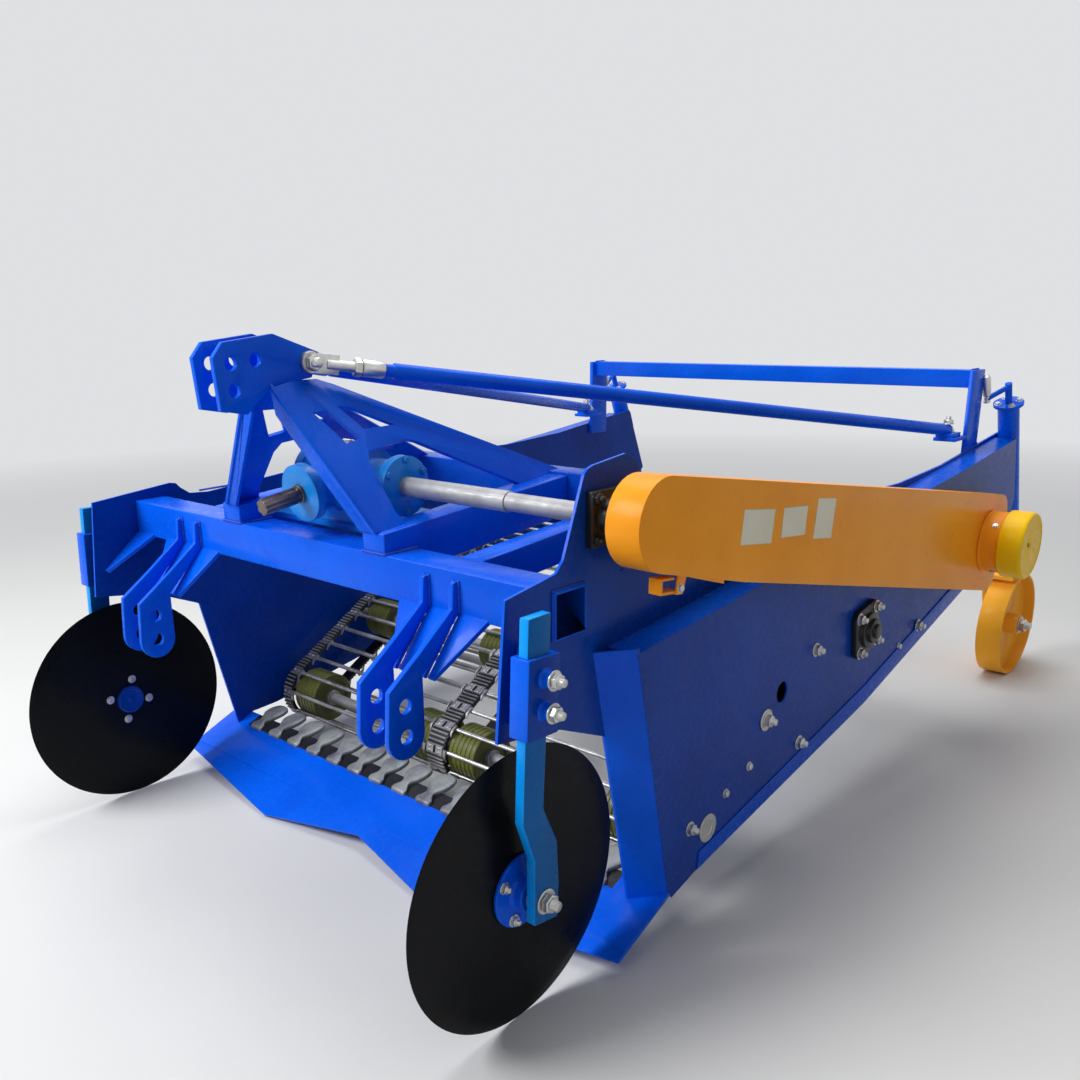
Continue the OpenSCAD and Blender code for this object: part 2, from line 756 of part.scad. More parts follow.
module drive_cap() placed() {
  face = box_x + case_w;
  color(orange) bar_x(face, cap_c[0], cap_c[1], cap_r - 8, cap_base + 1);
  color(yellow) bar_x(face + cap_base, cap_c[0], cap_c[1], cap_r, cap_l);
}

flange_half = 62;
flange_cut = 16;
flange_lean = 9;
module flange_bearing() placed() {
  h = flange_half;
  c = h - flange_cut;
  outline = [[c, h], [h, c], [h, -c], [c, -h], [-c, -h], [-h, -c], [-h, c], [-c, h]];
  color(black) mirror_copy() difference() {
    union() {
      translate([0, mid_c[0], mid_c[1]]) rotate([flange_lean, 0, 0]) plate_x(box_x, 14, outline);
      bar_x(box_x, mid_c[0], mid_c[1], 44, 24);
      bar_x(box_x, mid_c[0], mid_c[1], 30, 34);
    }
    bar_x(box_x - 1, mid_c[0], mid_c[1], 18, 60);
  }
  color(steel) mirror_copy() bar_x(wall_in, mid_c[0], mid_c[1], 18, box_x - wall_in + stub_len);
}

post_y = 1935;
post_w = 90;
post_t = 12;
post_x = wall_in;
stay_eye_t = 12;
lug_z = 852;
stay_end = [wall_in - 34, post_y - 62, lug_z + 20];

// Two adjustable stays from the mast to the rear posts.
module stays() placed() {
  start = [mast_gap / 2 + mast_t + stay_eye_t / 2, stay_hole[0], stay_hole[1]];
  d = (stay_end - start) / norm(stay_end - start);
  mirror_copy() {
    color(steel) difference() {
      union() {
        bar_x(start[0] - stay_eye_t / 2, start[1], start[2], 22, stay_eye_t);
        rod_between(start + 34 * d, start + 120 * d, 11);
        flat_between(start + 12 * d, start + 60 * d, stay_eye_t, 40);
        rod_between(start + 100 * d, start + 190 * d, 13);
      }
      bar_x(0, start[1], start[2], stay_pin_r, 200);
    }
    color(blue) {
      rod_between(start + 180 * d, stay_end, stay_d / 2);
      translate([stay_end[0] - 24, stay_end[1] - 24, lug_z]) cube([48, 62, 12]);
    }
  }
}

module rear_posts() placed() {
  z0 = 770;
  color(blue) {
    mirror_copy() {
      translate([wall_in - post_t, post_y, z0]) cube([post_t, post_w, bar_z + bar_s / 2 - z0]);
      translate([stay_end[0] - 28, stay_end[1] - 28, lug_z - 10]) cube([62, 92, 10]);
    }
    translate([-wall_in + post_t - 1, post_y + 20, bar_z - bar_s / 2])
      cube([2 * (wall_in - post_t) + 2, bar_s, bar_s]);
  }
}

jack_x = wall_x + tube_r + 1;
tube_len = 470;
leg_from = 205;
leg_to = axle_at - wheel_r - 34;
module jack_frame(side) {
  mirror([side < 0 ? 1 : 0, 0, 0]) translate([jack_x, jack_top[0], jack_top[1]])
    rotate([jack_lean, 0, 0]) children();
}

module jack_tube(side) {
  jack_frame(side) {
    color(blue) difference() {
      union() {
        translate([0, 0, -tube_len]) cylinder(r = tube_r, h = tube_len);
        for (z = [-170, -330]) translate([-tube_r - 1, -18, z]) cube([tube_r, 36, 60]);
      }
      translate([0, 0, -tube_len - 1]) cylinder(r = leg_r + fit, h = tube_len - 60);
    }
    color(steel) {
      cylinder(r = 42, h = 8);
      translate([0, 0, 7]) cylinder(r = 10, h = 62);
      translate([0, 0, 58]) rotate([90, 0, -20]) cylinder(r = 7.5, h = 95);
    }
  }
}

wheel_x = disc_x + 28;
arm_t = 12;
arm_x = wheel_x - wheel_w / 2 - 13 - arm_t;
module jack_leg(side) {
  jack_frame(side) color(steel) {
    translate([0, 0, -leg_to]) cylinder(r = leg_r, h = leg_to - leg_from);
    translate([arm_x - jack_x, -32, -leg_to - 12]) cube([jack_x - arm_x + leg_r, 64, 13]);
    translate([arm_x - jack_x, -32, -axle_at - 38]) cube([arm_t, 64, axle_at + 38 - leg_to]);
    translate([arm_x - jack_x, 0, -axle_at]) rotate([0, 90, 0])
      cylinder(r = 15, h = wheel_w + 44);
  }
}

module wheel(side) {
  boss = wheel_w + 12;
  jack_frame(side) translate([wheel_x - jack_x, 0, -axle_at]) rotate([0, 90, 0])
    color(orange) difference() {
      union() {
        difference() {
          translate([0, 0, -wheel_w / 2]) cylinder(r = wheel_r, h = wheel_w, $fn = 96);
          translate([0, 0, -wheel_w / 2 - 1]) cylinder(r = wheel_r - 8, h = wheel_w + 2, $fn = 96);
        }
        translate([0, 0, -4]) cylinder(r = wheel_r - 7, h = 8, $fn = 96);
        translate([0, 0, -boss / 2]) cylinder(r = 34, h = boss);
      }
      translate([0, 0, -boss]) cylinder(r = 15 + fit, h = 2 * boss);
    }
}

module jack_tube_left() placed() jack_tube(1);
module jack_tube_right() placed() jack_tube(-1);
module jack_leg_left() placed() jack_leg(1);
module jack_leg_right() placed() jack_leg(-1);
module wheel_left() placed() wheel(1);
module wheel_right() placed() wheel(-1);

front_beam();
side_wall_left();
side_wall_right();
side_box_left();
side_box_right();
gearbox_rails();
cross_channel();
mast_plates();
leg_plate_left();
leg_plate_right();
hitch_left();
hitch_right();
shank_clamp_left();
shank_clamp_right();
shank_left();
shank_right();
disc_left();
disc_right();
share();
sieve_fingers();
rod_web_left();
rod_web_right();
nose_rollers();
carrier_rollers();
drive_rollers();
gearbox();
input_shaft();
cross_shaft();
shaft_bearing();
drive_case();
drive_cap();
flange_bearing();
stays();
rear_posts();
jack_tube_left();
jack_tube_right();
jack_leg_left();
jack_leg_right();
wheel_left();
wheel_right();
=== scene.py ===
import math

import bmesh
import bpy
from mathutils import Matrix, Vector


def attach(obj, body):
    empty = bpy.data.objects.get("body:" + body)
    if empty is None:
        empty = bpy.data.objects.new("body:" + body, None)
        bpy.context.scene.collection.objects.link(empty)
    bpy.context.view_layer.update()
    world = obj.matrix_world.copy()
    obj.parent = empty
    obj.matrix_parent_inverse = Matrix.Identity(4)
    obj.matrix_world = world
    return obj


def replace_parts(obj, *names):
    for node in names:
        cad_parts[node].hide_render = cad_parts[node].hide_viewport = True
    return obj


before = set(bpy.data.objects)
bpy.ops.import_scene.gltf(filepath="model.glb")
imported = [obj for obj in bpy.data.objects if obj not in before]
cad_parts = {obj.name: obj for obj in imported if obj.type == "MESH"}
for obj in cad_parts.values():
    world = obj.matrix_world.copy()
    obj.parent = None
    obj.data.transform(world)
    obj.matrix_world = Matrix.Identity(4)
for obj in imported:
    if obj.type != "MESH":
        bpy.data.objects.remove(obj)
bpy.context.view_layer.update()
scene = bpy.context.scene

# The digger is laid out in millimetres from the middle of its hitch, at floor level: x to its left,
# y to its rear, z up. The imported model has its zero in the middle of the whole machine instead.
HITCH_ZERO = Vector((-0.0695, -1.16702481, 0))
MM = 0.001
SIDES = ((1, "left"), (-1, "right"))

# Outer faces, as x: the side walls, the box panels on them and the drive case.
WALL_X, PANEL_X, CASE_X = 700, 765, 832
# Round parts, as y and z of their axles.
DISC_X, DISC_AXLE, BLADE_R = 694, (-15, 262), 261.9
NOSE, KNEE, IDLER, DRIVE = (515, 153), (782, 322), (867, 230), (1800, 472)
RODS_APART, ROLLER_R, ROLLERS_X = 65, 69.5, (-563, -80, 80, 563)
REAR_SHAFT, WHEEL_AXLE = (1790, 585), (2439, 172)
GEARBOX_AT, GEARBOX_TILT = (0, 205, 886), 9
BEAM_MIDDLE = (112.5, 736.5)
CORNERS = ((1, 1), (1, -1), (-1, -1), (-1, 1))


def spot(x, y, z):
    """A place on the digger, given in millimetres from the hitch."""
    return Vector((x, y, z)) / 1000 + HITCH_ZERO


def to_spot(x, y, z):
    """The move from the origin to a spot."""
    return Matrix.Translation(spot(x, y, z))


def shift(x, y, z):
    """A move by millimetres."""
    return Matrix.Translation(Vector((x, y, z)) * MM)


def around(radius, angles):
    """Points on a circle, as two coordinates from its middle."""
    return [(radius * math.cos(angle), radius * math.sin(angle)) for angle in angles]


# ---- materials ----

def new_material(name):
    """An empty material with a shader on its output."""
    material = bpy.data.materials.new(name)
    material.use_nodes = True
    tree = material.node_tree
    tree.nodes.clear()
    shader = tree.nodes.new("ShaderNodeBsdfPrincipled")
    out = tree.nodes.new("ShaderNodeOutputMaterial")
    tree.links.new(shader.outputs["BSDF"], out.inputs["Surface"])
    return material, tree, shader


def noise(tree, scale, detail=4.0, rough=0.55, stretch=(1, 1, 1)):
    """Noise on the object's own coordinates, so that it stays with the piece."""
    where = tree.nodes.new("ShaderNodeTexCoord")
    mapping = tree.nodes.new("ShaderNodeMapping")
    mapping.inputs["Scale"].default_value = stretch
    texture = tree.nodes.new("ShaderNodeTexNoise")
    texture.inputs["Scale"].default_value = scale
    texture.inputs["Detail"].default_value = detail
    texture.inputs["Roughness"].default_value = rough
    tree.links.new(where.outputs["Object"], mapping.inputs["Vector"])
    tree.links.new(mapping.outputs["Vector"], texture.inputs["Vector"])
    return texture.outputs["Fac"]


def ramp(tree, value, low, high, low_to=0.0, high_to=1.0):
    """Takes low..high of a value to low_to..high_to."""
    node = tree.nodes.new("ShaderNodeMapRange")
    node.inputs["From Min"].default_value = low
    node.inputs["From Max"].default_value = high
    node.inputs["To Min"].default_value = low_to
    node.inputs["To Max"].default_value = high_to
    tree.links.new(value, node.inputs["Value"])
    return node.outputs["Result"]


def blend_colour(tree, share, a, b):
    """Colour a where the share is 0 and b where it is 1."""
    node = tree.nodes.new("ShaderNodeMix")
    node.data_type = "RGBA"
    for socket, colour in ((node.inputs["A"], a), (node.inputs["B"], b)):
        if isinstance(colour, tuple):
            socket.default_value = (*colour, 1)
        else:
            tree.links.new(colour, socket)
    tree.links.new(share, node.inputs["Factor"])
    return node.outputs["Result"]


def rounded_edges(tree, radius):
    """The shading of softly rounded edges."""
    bevel = tree.nodes.new("ShaderNodeBevel")
    bevel.samples = 4
    bevel.inputs["Radius"].default_value = radius
    return bevel.outputs["Normal"]


def flatness(tree, rounded):
    """1 on the flats of a piece, and less the further its edges are rounded."""
    flat = tree.nodes.new("ShaderNodeNewGeometry")
    dot = tree.nodes.new("ShaderNodeVectorMath")
    dot.operation = "DOT_PRODUCT"
    tree.links.new(rounded, dot.inputs[0])
    tree.links.new(flat.outputs["Normal"], dot.inputs[1])
    return dot.outputs["Value"]


def bump(tree, height, strength, distance, normal):
    """Bump of a height in metres over a normal."""
    node = tree.nodes.new("ShaderNodeBump")
    node.inputs["Strength"].default_value = strength
    node.inputs["Distance"].default_value = distance
    tree.links.new(height, node.inputs["Height"])
    tree.links.new(normal, node.inputs["Normal"])
    return node.outputs["Normal"]


def product(tree, a, b):
    """One value times another."""
    node = tree.nodes.new("ShaderNodeMath")
    node.operation = "MULTIPLY"
    tree.links.new(a, node.inputs[0])
    tree.links.new(b, node.inputs[1])
    return node.outputs["Value"]


def clear_coat(shader, specular, weight, roughness):
    """The gloss of paint, and the thin coat over it."""
    shader.inputs["Specular IOR Level"].default_value = specular
    shader.inputs["Coat Weight"].default_value = weight
    shader.inputs["Coat Roughness"].default_value = roughness


def sprayed_enamel(name, colour, deep, edge_chip_and_highlight_colour=(0.06, 0.20, 0.60), rough=0.22):
    """Glossy sprayed paint: faint orange peel, uneven coats, dust, and paler patches on the edges that are partly
    chips in the paint and partly painted highlight.
    """
    material, tree, shader = new_material(name)
    coats = ramp(tree, noise(tree, 5.0, 3.0), 0.35, 0.68)
    tone = blend_colour(tree, coats, deep, colour)
    rounded = rounded_edges(tree, 0.0016)
    # Paler patches along the rounded edges: partly chips in the paint, partly painted highlight.
    edges = ramp(tree, flatness(tree, rounded), 0.93, 0.72)
    patches = ramp(tree, noise(tree, 34.0, 6.0, 0.7), 0.58, 0.70)
    tone_with_chips_and_highlight = blend_colour(tree, product(tree, edges, patches), tone, edge_chip_and_highlight_colour)
    dust = ramp(tree, noise(tree, 2.3, 7.0, 0.62), 0.56, 0.82, 0.0, 0.03)
    dusty = blend_colour(tree, dust, tone_with_chips_and_highlight, (0.42, 0.40, 0.37))
    tree.links.new(dusty, shader.inputs["Base Color"])
    grain = ramp(tree, noise(tree, 60.0, 5.0, 0.6), 0.3, 0.75, rough - 0.05, rough + 0.16)
    tree.links.new(grain, shader.inputs["Roughness"])
    peel = noise(tree, 420.0, 2.0, 0.5)
    tree.links.new(bump(tree, peel, 0.03, 0.0006, rounded), shader.inputs["Normal"])
    clear_coat(shader, 0.10, 0.04, 0.06)
    return material


def bare_metal(name, colour, dark, rough, scale=90.0, stretch=(1, 1, 1), metal=1.0, depth=0.12):
    """Zinc plate or bare steel with scuffs along it and darker stains."""
    material, tree, shader = new_material(name)
    stains = ramp(tree, noise(tree, 16.0, 6.0, 0.65), 0.42, 0.72)
    tree.links.new(blend_colour(tree, stains, colour, dark), shader.inputs["Base Color"])
    scuffs = noise(tree, scale, 4.0, 0.6, stretch)
    tree.links.new(ramp(tree, scuffs, 0.3, 0.7, rough - 0.08, rough + 0.14), shader.inputs["Roughness"])
    tree.links.new(bump(tree, scuffs, depth, 0.0005, rounded_edges(tree, 0.0008)), shader.inputs["Normal"])
    shader.inputs["Metallic"].default_value = metal
    return material


def cast_enamel(name, colour, deep):
    """Paint over a rough sand casting."""
    material, tree, shader = new_material(name)
    coats = ramp(tree, noise(tree, 9.0, 4.0), 0.35, 0.68)
    tree.links.new(blend_colour(tree, coats, deep, colour), shader.inputs["Base Color"])
    sand = noise(tree, 230.0, 5.0, 0.7)
    tree.links.new(ramp(tree, sand, 0.3, 0.7, 0.24, 0.42), shader.inputs["Roughness"])
    tree.links.new(bump(tree, sand, 0.35, 0.0012, rounded_edges(tree, 0.003)), shader.inputs["Normal"])
    clear_coat(shader, 0.3, 0.12, 0.15)
    return material


# Each finish: its colour, then the deeper tone of its thin or stained places.
royal = sprayed_enamel("royal_blue_enamel", (0.001, 0.118, 0.84), (0.001, 0.092, 0.72))
# Painted shade: a darker copy of the royal blue, for faces that lie in shade.
blue_in_painted_shade = sprayed_enamel("blue_in_painted_shade_enamel", (0.001, 0.048, 0.36), (0.001, 0.037, 0.29))
# Painted half shade: a copy of the royal blue between it and the painted shade copy.
blue_in_painted_half_shade = sprayed_enamel("blue_in_painted_half_shade_enamel", (0.001, 0.085, 0.62), (0.001, 0.066, 0.52))
shank_blue = sprayed_enamel("shank_blue_enamel", (0.005, 0.34, 0.96), (0.003, 0.27, 0.84))
# Painted shade: a darker copy of the shank's blue, for its flats.
shank_flats_painted_shade = sprayed_enamel("shank_flats_painted_shade_enamel", (0.001, 0.125, 0.41), (0.001, 0.10, 0.34))
gear_blue = cast_enamel("gearbox_blue_casting", (0.003, 0.235, 0.72), (0.002, 0.18, 0.60))
disc_black = sprayed_enamel("disc_black", (0.004, 0.0045, 0.006), (0.0025, 0.003, 0.004), (0.05, 0.05, 0.05), 0.30)
bearing_black = cast_enamel("bearing_black_casting", (0.020, 0.021, 0.024), (0.010, 0.010, 0.012))
case_orange = sprayed_enamel("case_orange", (0.94, 0.355, 0.018), (0.87, 0.31, 0.013), (0.60, 0.40, 0.16), 0.30)
wheel_orange = sprayed_enamel("wheel_orange", (0.96, 0.44, 0.034), (0.90, 0.385, 0.024), (0.50, 0.36, 0.20), 0.34)
cap_yellow = sprayed_enamel("cap_yellow", (0.94, 0.60, 0.006), (0.90, 0.54, 0.004), (0.80, 0.60, 0.24), 0.26)
zinc = bare_metal("zinc_plate", (0.62, 0.62, 0.60), (0.34, 0.34, 0.33), 0.34)
rod_steel = bare_metal("rod_steel", (0.50, 0.50, 0.50), (0.22, 0.21, 0.20), 0.38, 60.0, (1, 6, 6))
shaft_steel = bare_metal("shaft_steel", (0.37, 0.37, 0.385), (0.26, 0.26, 0.27), 0.56, 50.0, (1, 9, 9), 0.75)
oiled_steel = bare_metal("oiled_steel", (0.20, 0.17, 0.15), (0.09, 0.07, 0.06), 0.34)
finger_steel = bare_metal("finger_steel", (0.34, 0.36, 0.35), (0.10, 0.10, 0.14), 0.50, 120.0, (1, 1, 1), 0.45, 1.0)
olive_rubber = cast_enamel("olive_rubber", (0.16, 0.17, 0.03), (0.08, 0.09, 0.02))
belt_rubber = cast_enamel("belt_rubber", (0.022, 0.022, 0.026), (0.012, 0.012, 0.014))
# Painted highlight: the cleats' light grey stands in for the light that the ribbed rubber reflects.
cleat_painted_highlight = cast_enamel("cleat_painted_highlight", (0.36, 0.36, 0.35), (0.16, 0.16, 0.16))
weld_blue = cast_enamel("weld_bead_blue", (0.006, 0.090, 0.66), (0.004, 0.06, 0.5))
sticker = cast_enamel("blank_sticker", (0.74, 0.70, 0.56), (0.68, 0.63, 0.48))

# The finish of each construction part.
FINISH = {
    royal: ("front_beam", "gearbox_rails", "mast_plates", "leg_plate_left", "leg_plate_right",
            "hitch_left", "hitch_right", "shank_clamp_left", "shank_clamp_right", "share", "stays",
            "rear_posts", "jack_tube_left", "jack_tube_right"),
    # The side walls and side boxes take the painted shade copy of the blue.
    blue_in_painted_shade: ("side_wall_left", "side_wall_right", "side_box_left", "side_box_right"),
    # The cross channel takes the painted half shade copy of the blue.
    blue_in_painted_half_shade: ("cross_channel",),
    shank_blue: ("shank_left", "shank_right"),
    gear_blue: ("gearbox",),
    disc_black: ("disc_left", "disc_right"),
    bearing_black: ("shaft_bearing", "flange_bearing"),
    case_orange: ("drive_case",),
    wheel_orange: ("wheel_left", "wheel_right"),
    cap_yellow: ("drive_cap",),
    zinc: ("jack_leg_left", "jack_leg_right"),
    rod_steel: ("rod_web_left", "rod_web_right"),
    shaft_steel: ("nose_rollers", "drive_rollers", "cross_shaft"),
    oiled_steel: ("input_shaft",),
    finger_steel: ("sieve_fingers",),
    olive_rubber: ("carrier_rollers",),
}
for finish, names in FINISH.items():
    for name in names:
        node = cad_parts[name]
        node.data.materials.clear()
        node.data.materials.append(finish)

# ---- bench tools ----

def only(piece):
    """Selects one piece alone."""
    bpy.ops.object.select_all(action="DESELECT")
    piece.select_set(True)
    bpy.context.view_layer.objects.active = piece


def open_up(piece):
    """Opens a piece in edit mode with nothing selected."""
    only(piece)
    bpy.ops.object.mode_set(mode="EDIT")
    bpy.ops.mesh.select_mode(type="FACE")
    bpy.ops.mesh.select_all(action="DESELECT")


def pick_all():
    """Selects all of the open piece."""
    bpy.ops.mesh.select_all(action="SELECT")


def close_up():
    """Leaves edit mode with every face pointing outwards."""
    pick_all()
    bpy.ops.mesh.normals_make_consistent(inside=False)
    bpy.ops.object.mode_set(mode="OBJECT")


def pick_faces(test):
    """Selects the faces of the open piece whose middle and normal pass the test."""
    bpy.ops.mesh.select_mode(type="FACE")
    bpy.ops.mesh.select_all(action="DESELECT")
    work = bmesh.from_edit_mesh(bpy.context.object.data)
    for face in work.faces:
        if test(face.calc_center_median(), face.normal):
            face.select_set(True)
    bmesh.update_edit_mesh(bpy.context.object.data)


def pull(x, y, z, unit=MM):
    """Extrudes what is selected by x, y, z."""
    bpy.ops.mesh.extrude_region_move(TRANSFORM_OT_translate={"value": (x * unit, y * unit, z * unit)})


def face_outwards(piece):
    """Turns the faces of a mirrored piece outwards again."""
    open_up(piece)
    close_up()


def turned(sides, rings, unit=MM):
    """A round piece along +Z: a disc extruded and scaled ring by ring. A ring is (radius, height)."""
    radius, height = rings[0]
    bpy.ops.mesh.primitive_circle_add(vertices=sides, radius=radius * unit, location=(0, 0, height * unit),
                                      fill_type="NGON")
    piece = bpy.context.object
    bpy.ops.object.transform_apply()
    open_up(piece)
    pick_all()
    for next_radius, next_height in rings[1:]:
        pull(0, 0, next_height - height, unit)
        share = next_radius / radius
        bpy.ops.transform.resize(value=(share, share, 1))
        radius, height = next_radius, next_height
    close_up()
    return piece


def block(x, y, z, middle=(0, 0, 0)):
    """A block of x by y by z millimetres, to be shaped."""
    bpy.ops.mesh.primitive_cube_add(size=1, location=[v * MM for v in middle], scale=(x * MM, y * MM, z * MM))
    bpy.ops.object.transform_apply()
    return bpy.context.object


def plate(outline, thickness):
    """A plate cut to an outline of (y, z) points in millimetres, thickness along +X."""
    bpy.ops.mesh.primitive_circle_add(vertices=len(outline), radius=1, fill_type="NGON")
    piece = bpy.context.object
    for corner, (y, z) in zip(piece.data.vertices, outline):
        corner.co = Vector((0, y, z)) * MM
    open_up(piece)
    pick_all()
    pull(thickness, 0, 0)
    close_up()
    return piece


def bored(piece, holes):
    """Cuts round holes along X through a piece: (y, z, radius) in its own millimetres."""
    for y, z, radius in holes:
        drill = settle(turned(32, [(radius, -900), (radius, 900)]), shift(0, y, z) @ aim((1, 0, 0)))
        only(piece)
        bpy.ops.object.modifier_add(type="BOOLEAN")
        cut = piece.modifiers[-1]
        cut.operation = "DIFFERENCE"
        cut.object = drill
        cut.solver = "EXACT"
        bpy.ops.object.modifier_apply(modifier=cut.name)
        bpy.data.objects.remove(drill)
    return piece


def soften(piece, width, segments=2, angle=40):
    """Rounds the edges of a piece that are sharper than the angle."""
    only(piece)
    bpy.ops.object.modifier_add(type="BEVEL")
    edge = piece.modifiers[-1]
    edge.width = width * MM
    edge.segments = segments
    edge.limit_method = "ANGLE"
    edge.angle_limit = math.radians(angle)
    bpy.ops.object.modifier_apply(modifier=edge.name)
    return piece


def aim(along, spin=0.0):
    """Turns +Z to a direction, after a spin about +Z."""
    return Vector(along).to_track_quat("Z", "Y").to_matrix().to_4x4() @ Matrix.Rotation(spin, 4, "Z")


def settle(piece, matrix):
    """Moves a piece made at the origin to its place, with the place in its mesh."""
    piece.matrix_world = matrix
    only(piece)
    bpy.ops.object.transform_apply()
    return piece


def stand(where, along):
    """The place of a round piece that stands at a spot and points along a direction."""
    return to_spot(*where) @ aim(along)


def twin_of(piece):
    """A copy of a piece with its own mesh."""
    twin = piece.copy()
    twin.data = piece.data.copy()
    scene.collection.objects.link(twin)
    return twin


def join(parts):
    """Joins pieces into the first of them."""
    bpy.ops.object.select_all(action="DESELECT")
    for part in parts:
        part.select_set(True)
    bpy.context.view_layer.objects.active = parts[0]
    if len(parts) > 1:
        bpy.ops.object.join()
    return parts[0]


def copies(master, matrices):
    """Copies of a piece, each with its own mesh, joined into one."""
    made = []
    for matrix in matrices:
        twin = twin_of(master)
        twin.data.transform(matrix)
        made.append(twin)
    return join(made)


def finished(piece, name, finish, body="frame", smooth=32):
    """Names and paints a piece, smooths its shading and lets it ride on a body."""
    piece.name = name
    piece.data.name = name
    piece.data.materials.clear()
    piece.data.materials.append(finish)
    only(piece)
    bpy.ops.object.shade_smooth_by_angle(angle=math.radians(smooth))
    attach(piece, body)
    return piece


def repaint(piece, finish, test):
    """Gives another finish to the faces whose middle and normal pass the test."""
    piece.data.materials.append(finish)
    for face in piece.data.polygons:
        if test(face.center, face.normal):
            face.material_index = len(piece.data.materials) - 1


def on_both_sides(places):
    """The places with their mirror images on the machine's other side."""
    return places + [(-x, y, z, (-a[0], a[1], a[2]), r) for x, y, z, a, r in places]


def outward(places):
    """Fasteners on the left as (x, y, z, radius), with their mirror images, pointing away from the machine."""
    return on_both_sides([(x, y, z, (1, 0, 0), r) for x, y, z, r in places])


def on_the_sides(x, y, z):
    """The same place on the left and right, each pointing away from the machine."""
    return [stand((side * x, y, z), (side, 0, 0)) for side, word in SIDES]


def fasteners(name, master, places, body="frame", finish=zinc):
    """Copies of a bolt or nut of radius 1 at (x, y, z, direction it points in, radius), in millimetres."""
    matrices = [to_spot(x, y, z) @ aim(along, 0.4 * i) @ Matrix.Scale(r * MM, 4)
                for i, (x, y, z, along, r) in enumerate(places)]
    return finished(copies(master, matrices), name, finish, body)


# ---- bolts, nuts and rivets, with a head of radius 1 ----

def washer():
    """A washer for a head of radius 1."""
    return turned(20, [(1.22, 0.0), (1.28, 0.04), (1.28, 0.13), (1.22, 0.17), (0.9, 0.171)], 1)


def thread(radius, root, start, pitch, turns):
    """The rings of a screw thread, as grooves of a pitch."""
    rings = []
    for turn in range(turns):
        rings += [(radius, start + pitch * turn), (root, start + pitch / 2 + pitch * turn)]
    return rings


bolt = join([turned(6, [(0.96, 0.17), (1.0, 0.21), (1.0, 0.74), (0.86, 0.84)], 1), washer()])
nut = join([turned(6, [(0.86, 0.17), (1.0, 0.25), (1.0, 0.85), (0.86, 0.93)], 1), washer(),
            turned(14, [(0.56, 0.9)] + thread(0.56, 0.50, 0.98, 0.12, 5) + [(0.52, 1.6), (0.40, 1.66)], 1)])
rivet = turned(8, [(1.0, 0.0), (0.94, 0.28), (0.66, 0.52), (0.2, 0.62)], 1)

# Patterns are copied to their places, and taken away at the end.
patterns = [bolt, nut, rivet]

# ---- rod web ----

# The rollers in the order in which the web meets them: y, z and radius of the rods' way round each.
# The idler is outside the loop, so its radius is negative.
WEB_ROLLERS = [(*NOSE, 75), (*KNEE, 62), (*DRIVE, 75), (*IDLER, -38)]


def web_run(i):
    """One straight run of the web: its start, direction and length."""
    (ay, az, ar), (by, bz, br) = WEB_ROLLERS[i % 4], WEB_ROLLERS[(i + 1) % 4]
    heading = math.atan2(bz - az, by - ay) - math.asin((ar - br) / math.hypot(by - ay, bz - az))
    out_y, out_z = -math.sin(heading), math.cos(heading)
    start = (ay + ar * out_y, az + ar * out_z)
    end = (by + br * out_y, bz + br * out_z)
    return start, heading, math.hypot(end[0] - start[0], end[1] - start[1])


def web_wrap(i):
    """The turn round the roller after run i: its angle and length."""
    radius = WEB_ROLLERS[(i + 1) % 4][2]
    angle = math.remainder(web_run(i + 1)[1] - web_run(i)[1], math.tau)
    if radius > 0 and angle > 0:
        angle -= math.tau
    return angle, -radius * angle


WEB_LENGTH = sum(web_run(i)[2] + web_wrap(i)[1] for i in range(4))
ROD_COUNT = round(WEB_LENGTH / RODS_APART)
ROD_PITCH = WEB_LENGTH / ROD_COUNT


def on_web(distance):
    """The place of the web's middle line at this distance, and its heading."""
    for i in range(4):
        start, heading, length = web_run(i)
        angle, arc = web_wrap(i)
        if distance <= length:
            return start[0] + distance * math.cos(heading), start[1] + distance * math.sin(heading), heading
        distance -= length
        if distance <= arc or i == 3:
            y, z, radius = WEB_ROLLERS[(i + 1) % 4]
            heading += angle * min(distance / arc, 1)
            return y - radius * math.sin(heading), z + radius * math.cos(heading), heading
        distance -= arc


def web_place(x, distance):
    """A frame on the web: +X along it, +Y out of the loop, +Z across the machine."""
    y, z, heading = on_web(distance % WEB_LENGTH)
    along = Vector((0, math.cos(heading), math.sin(heading)))
    out = Vector((0, -math.sin(heading), math.cos(heading)))
    return to_spot(x, y, z) @ Matrix((along, out, (1, 0, 0))).transposed().to_4x4()


# A belt, 1 mm wide: its section drawn out along each run and spun round each roller.
start, heading, length = web_run(0)
seam, way = spot(0, *start), Vector((0, math.cos(heading), math.sin(heading)))
bpy.ops.mesh.primitive_plane_add(size=1, location=seam, rotation=(heading - math.pi / 2, 0, 0))
belt = bpy.context.object
belt.scale = (0.001, 0.008, 1)
bpy.ops.object.transform_apply()
open_up(belt)
pick_all()
for i in range(4):
    start, heading, length = web_run(i)
    pull(0, length * math.cos(heading), length * math.sin(heading))
    y, z, radius = WEB_ROLLERS[(i + 1) % 4]
    angle, arc = web_wrap(i)
    bpy.ops.mesh.spin(steps=max(6, round(abs(angle) / 0.13)), angle=-angle, center=spot(0, y, z), axis=(1, 0, 0))
pick_faces(lambda middle, normal: (middle - seam).length < 0.0005 and abs(normal.dot(way)) > 0.99)
bpy.ops.mesh.delete(type="ONLY_FACE")
pick_all()
bpy.ops.mesh.remove_doubles(threshold=0.0001)
close_up()

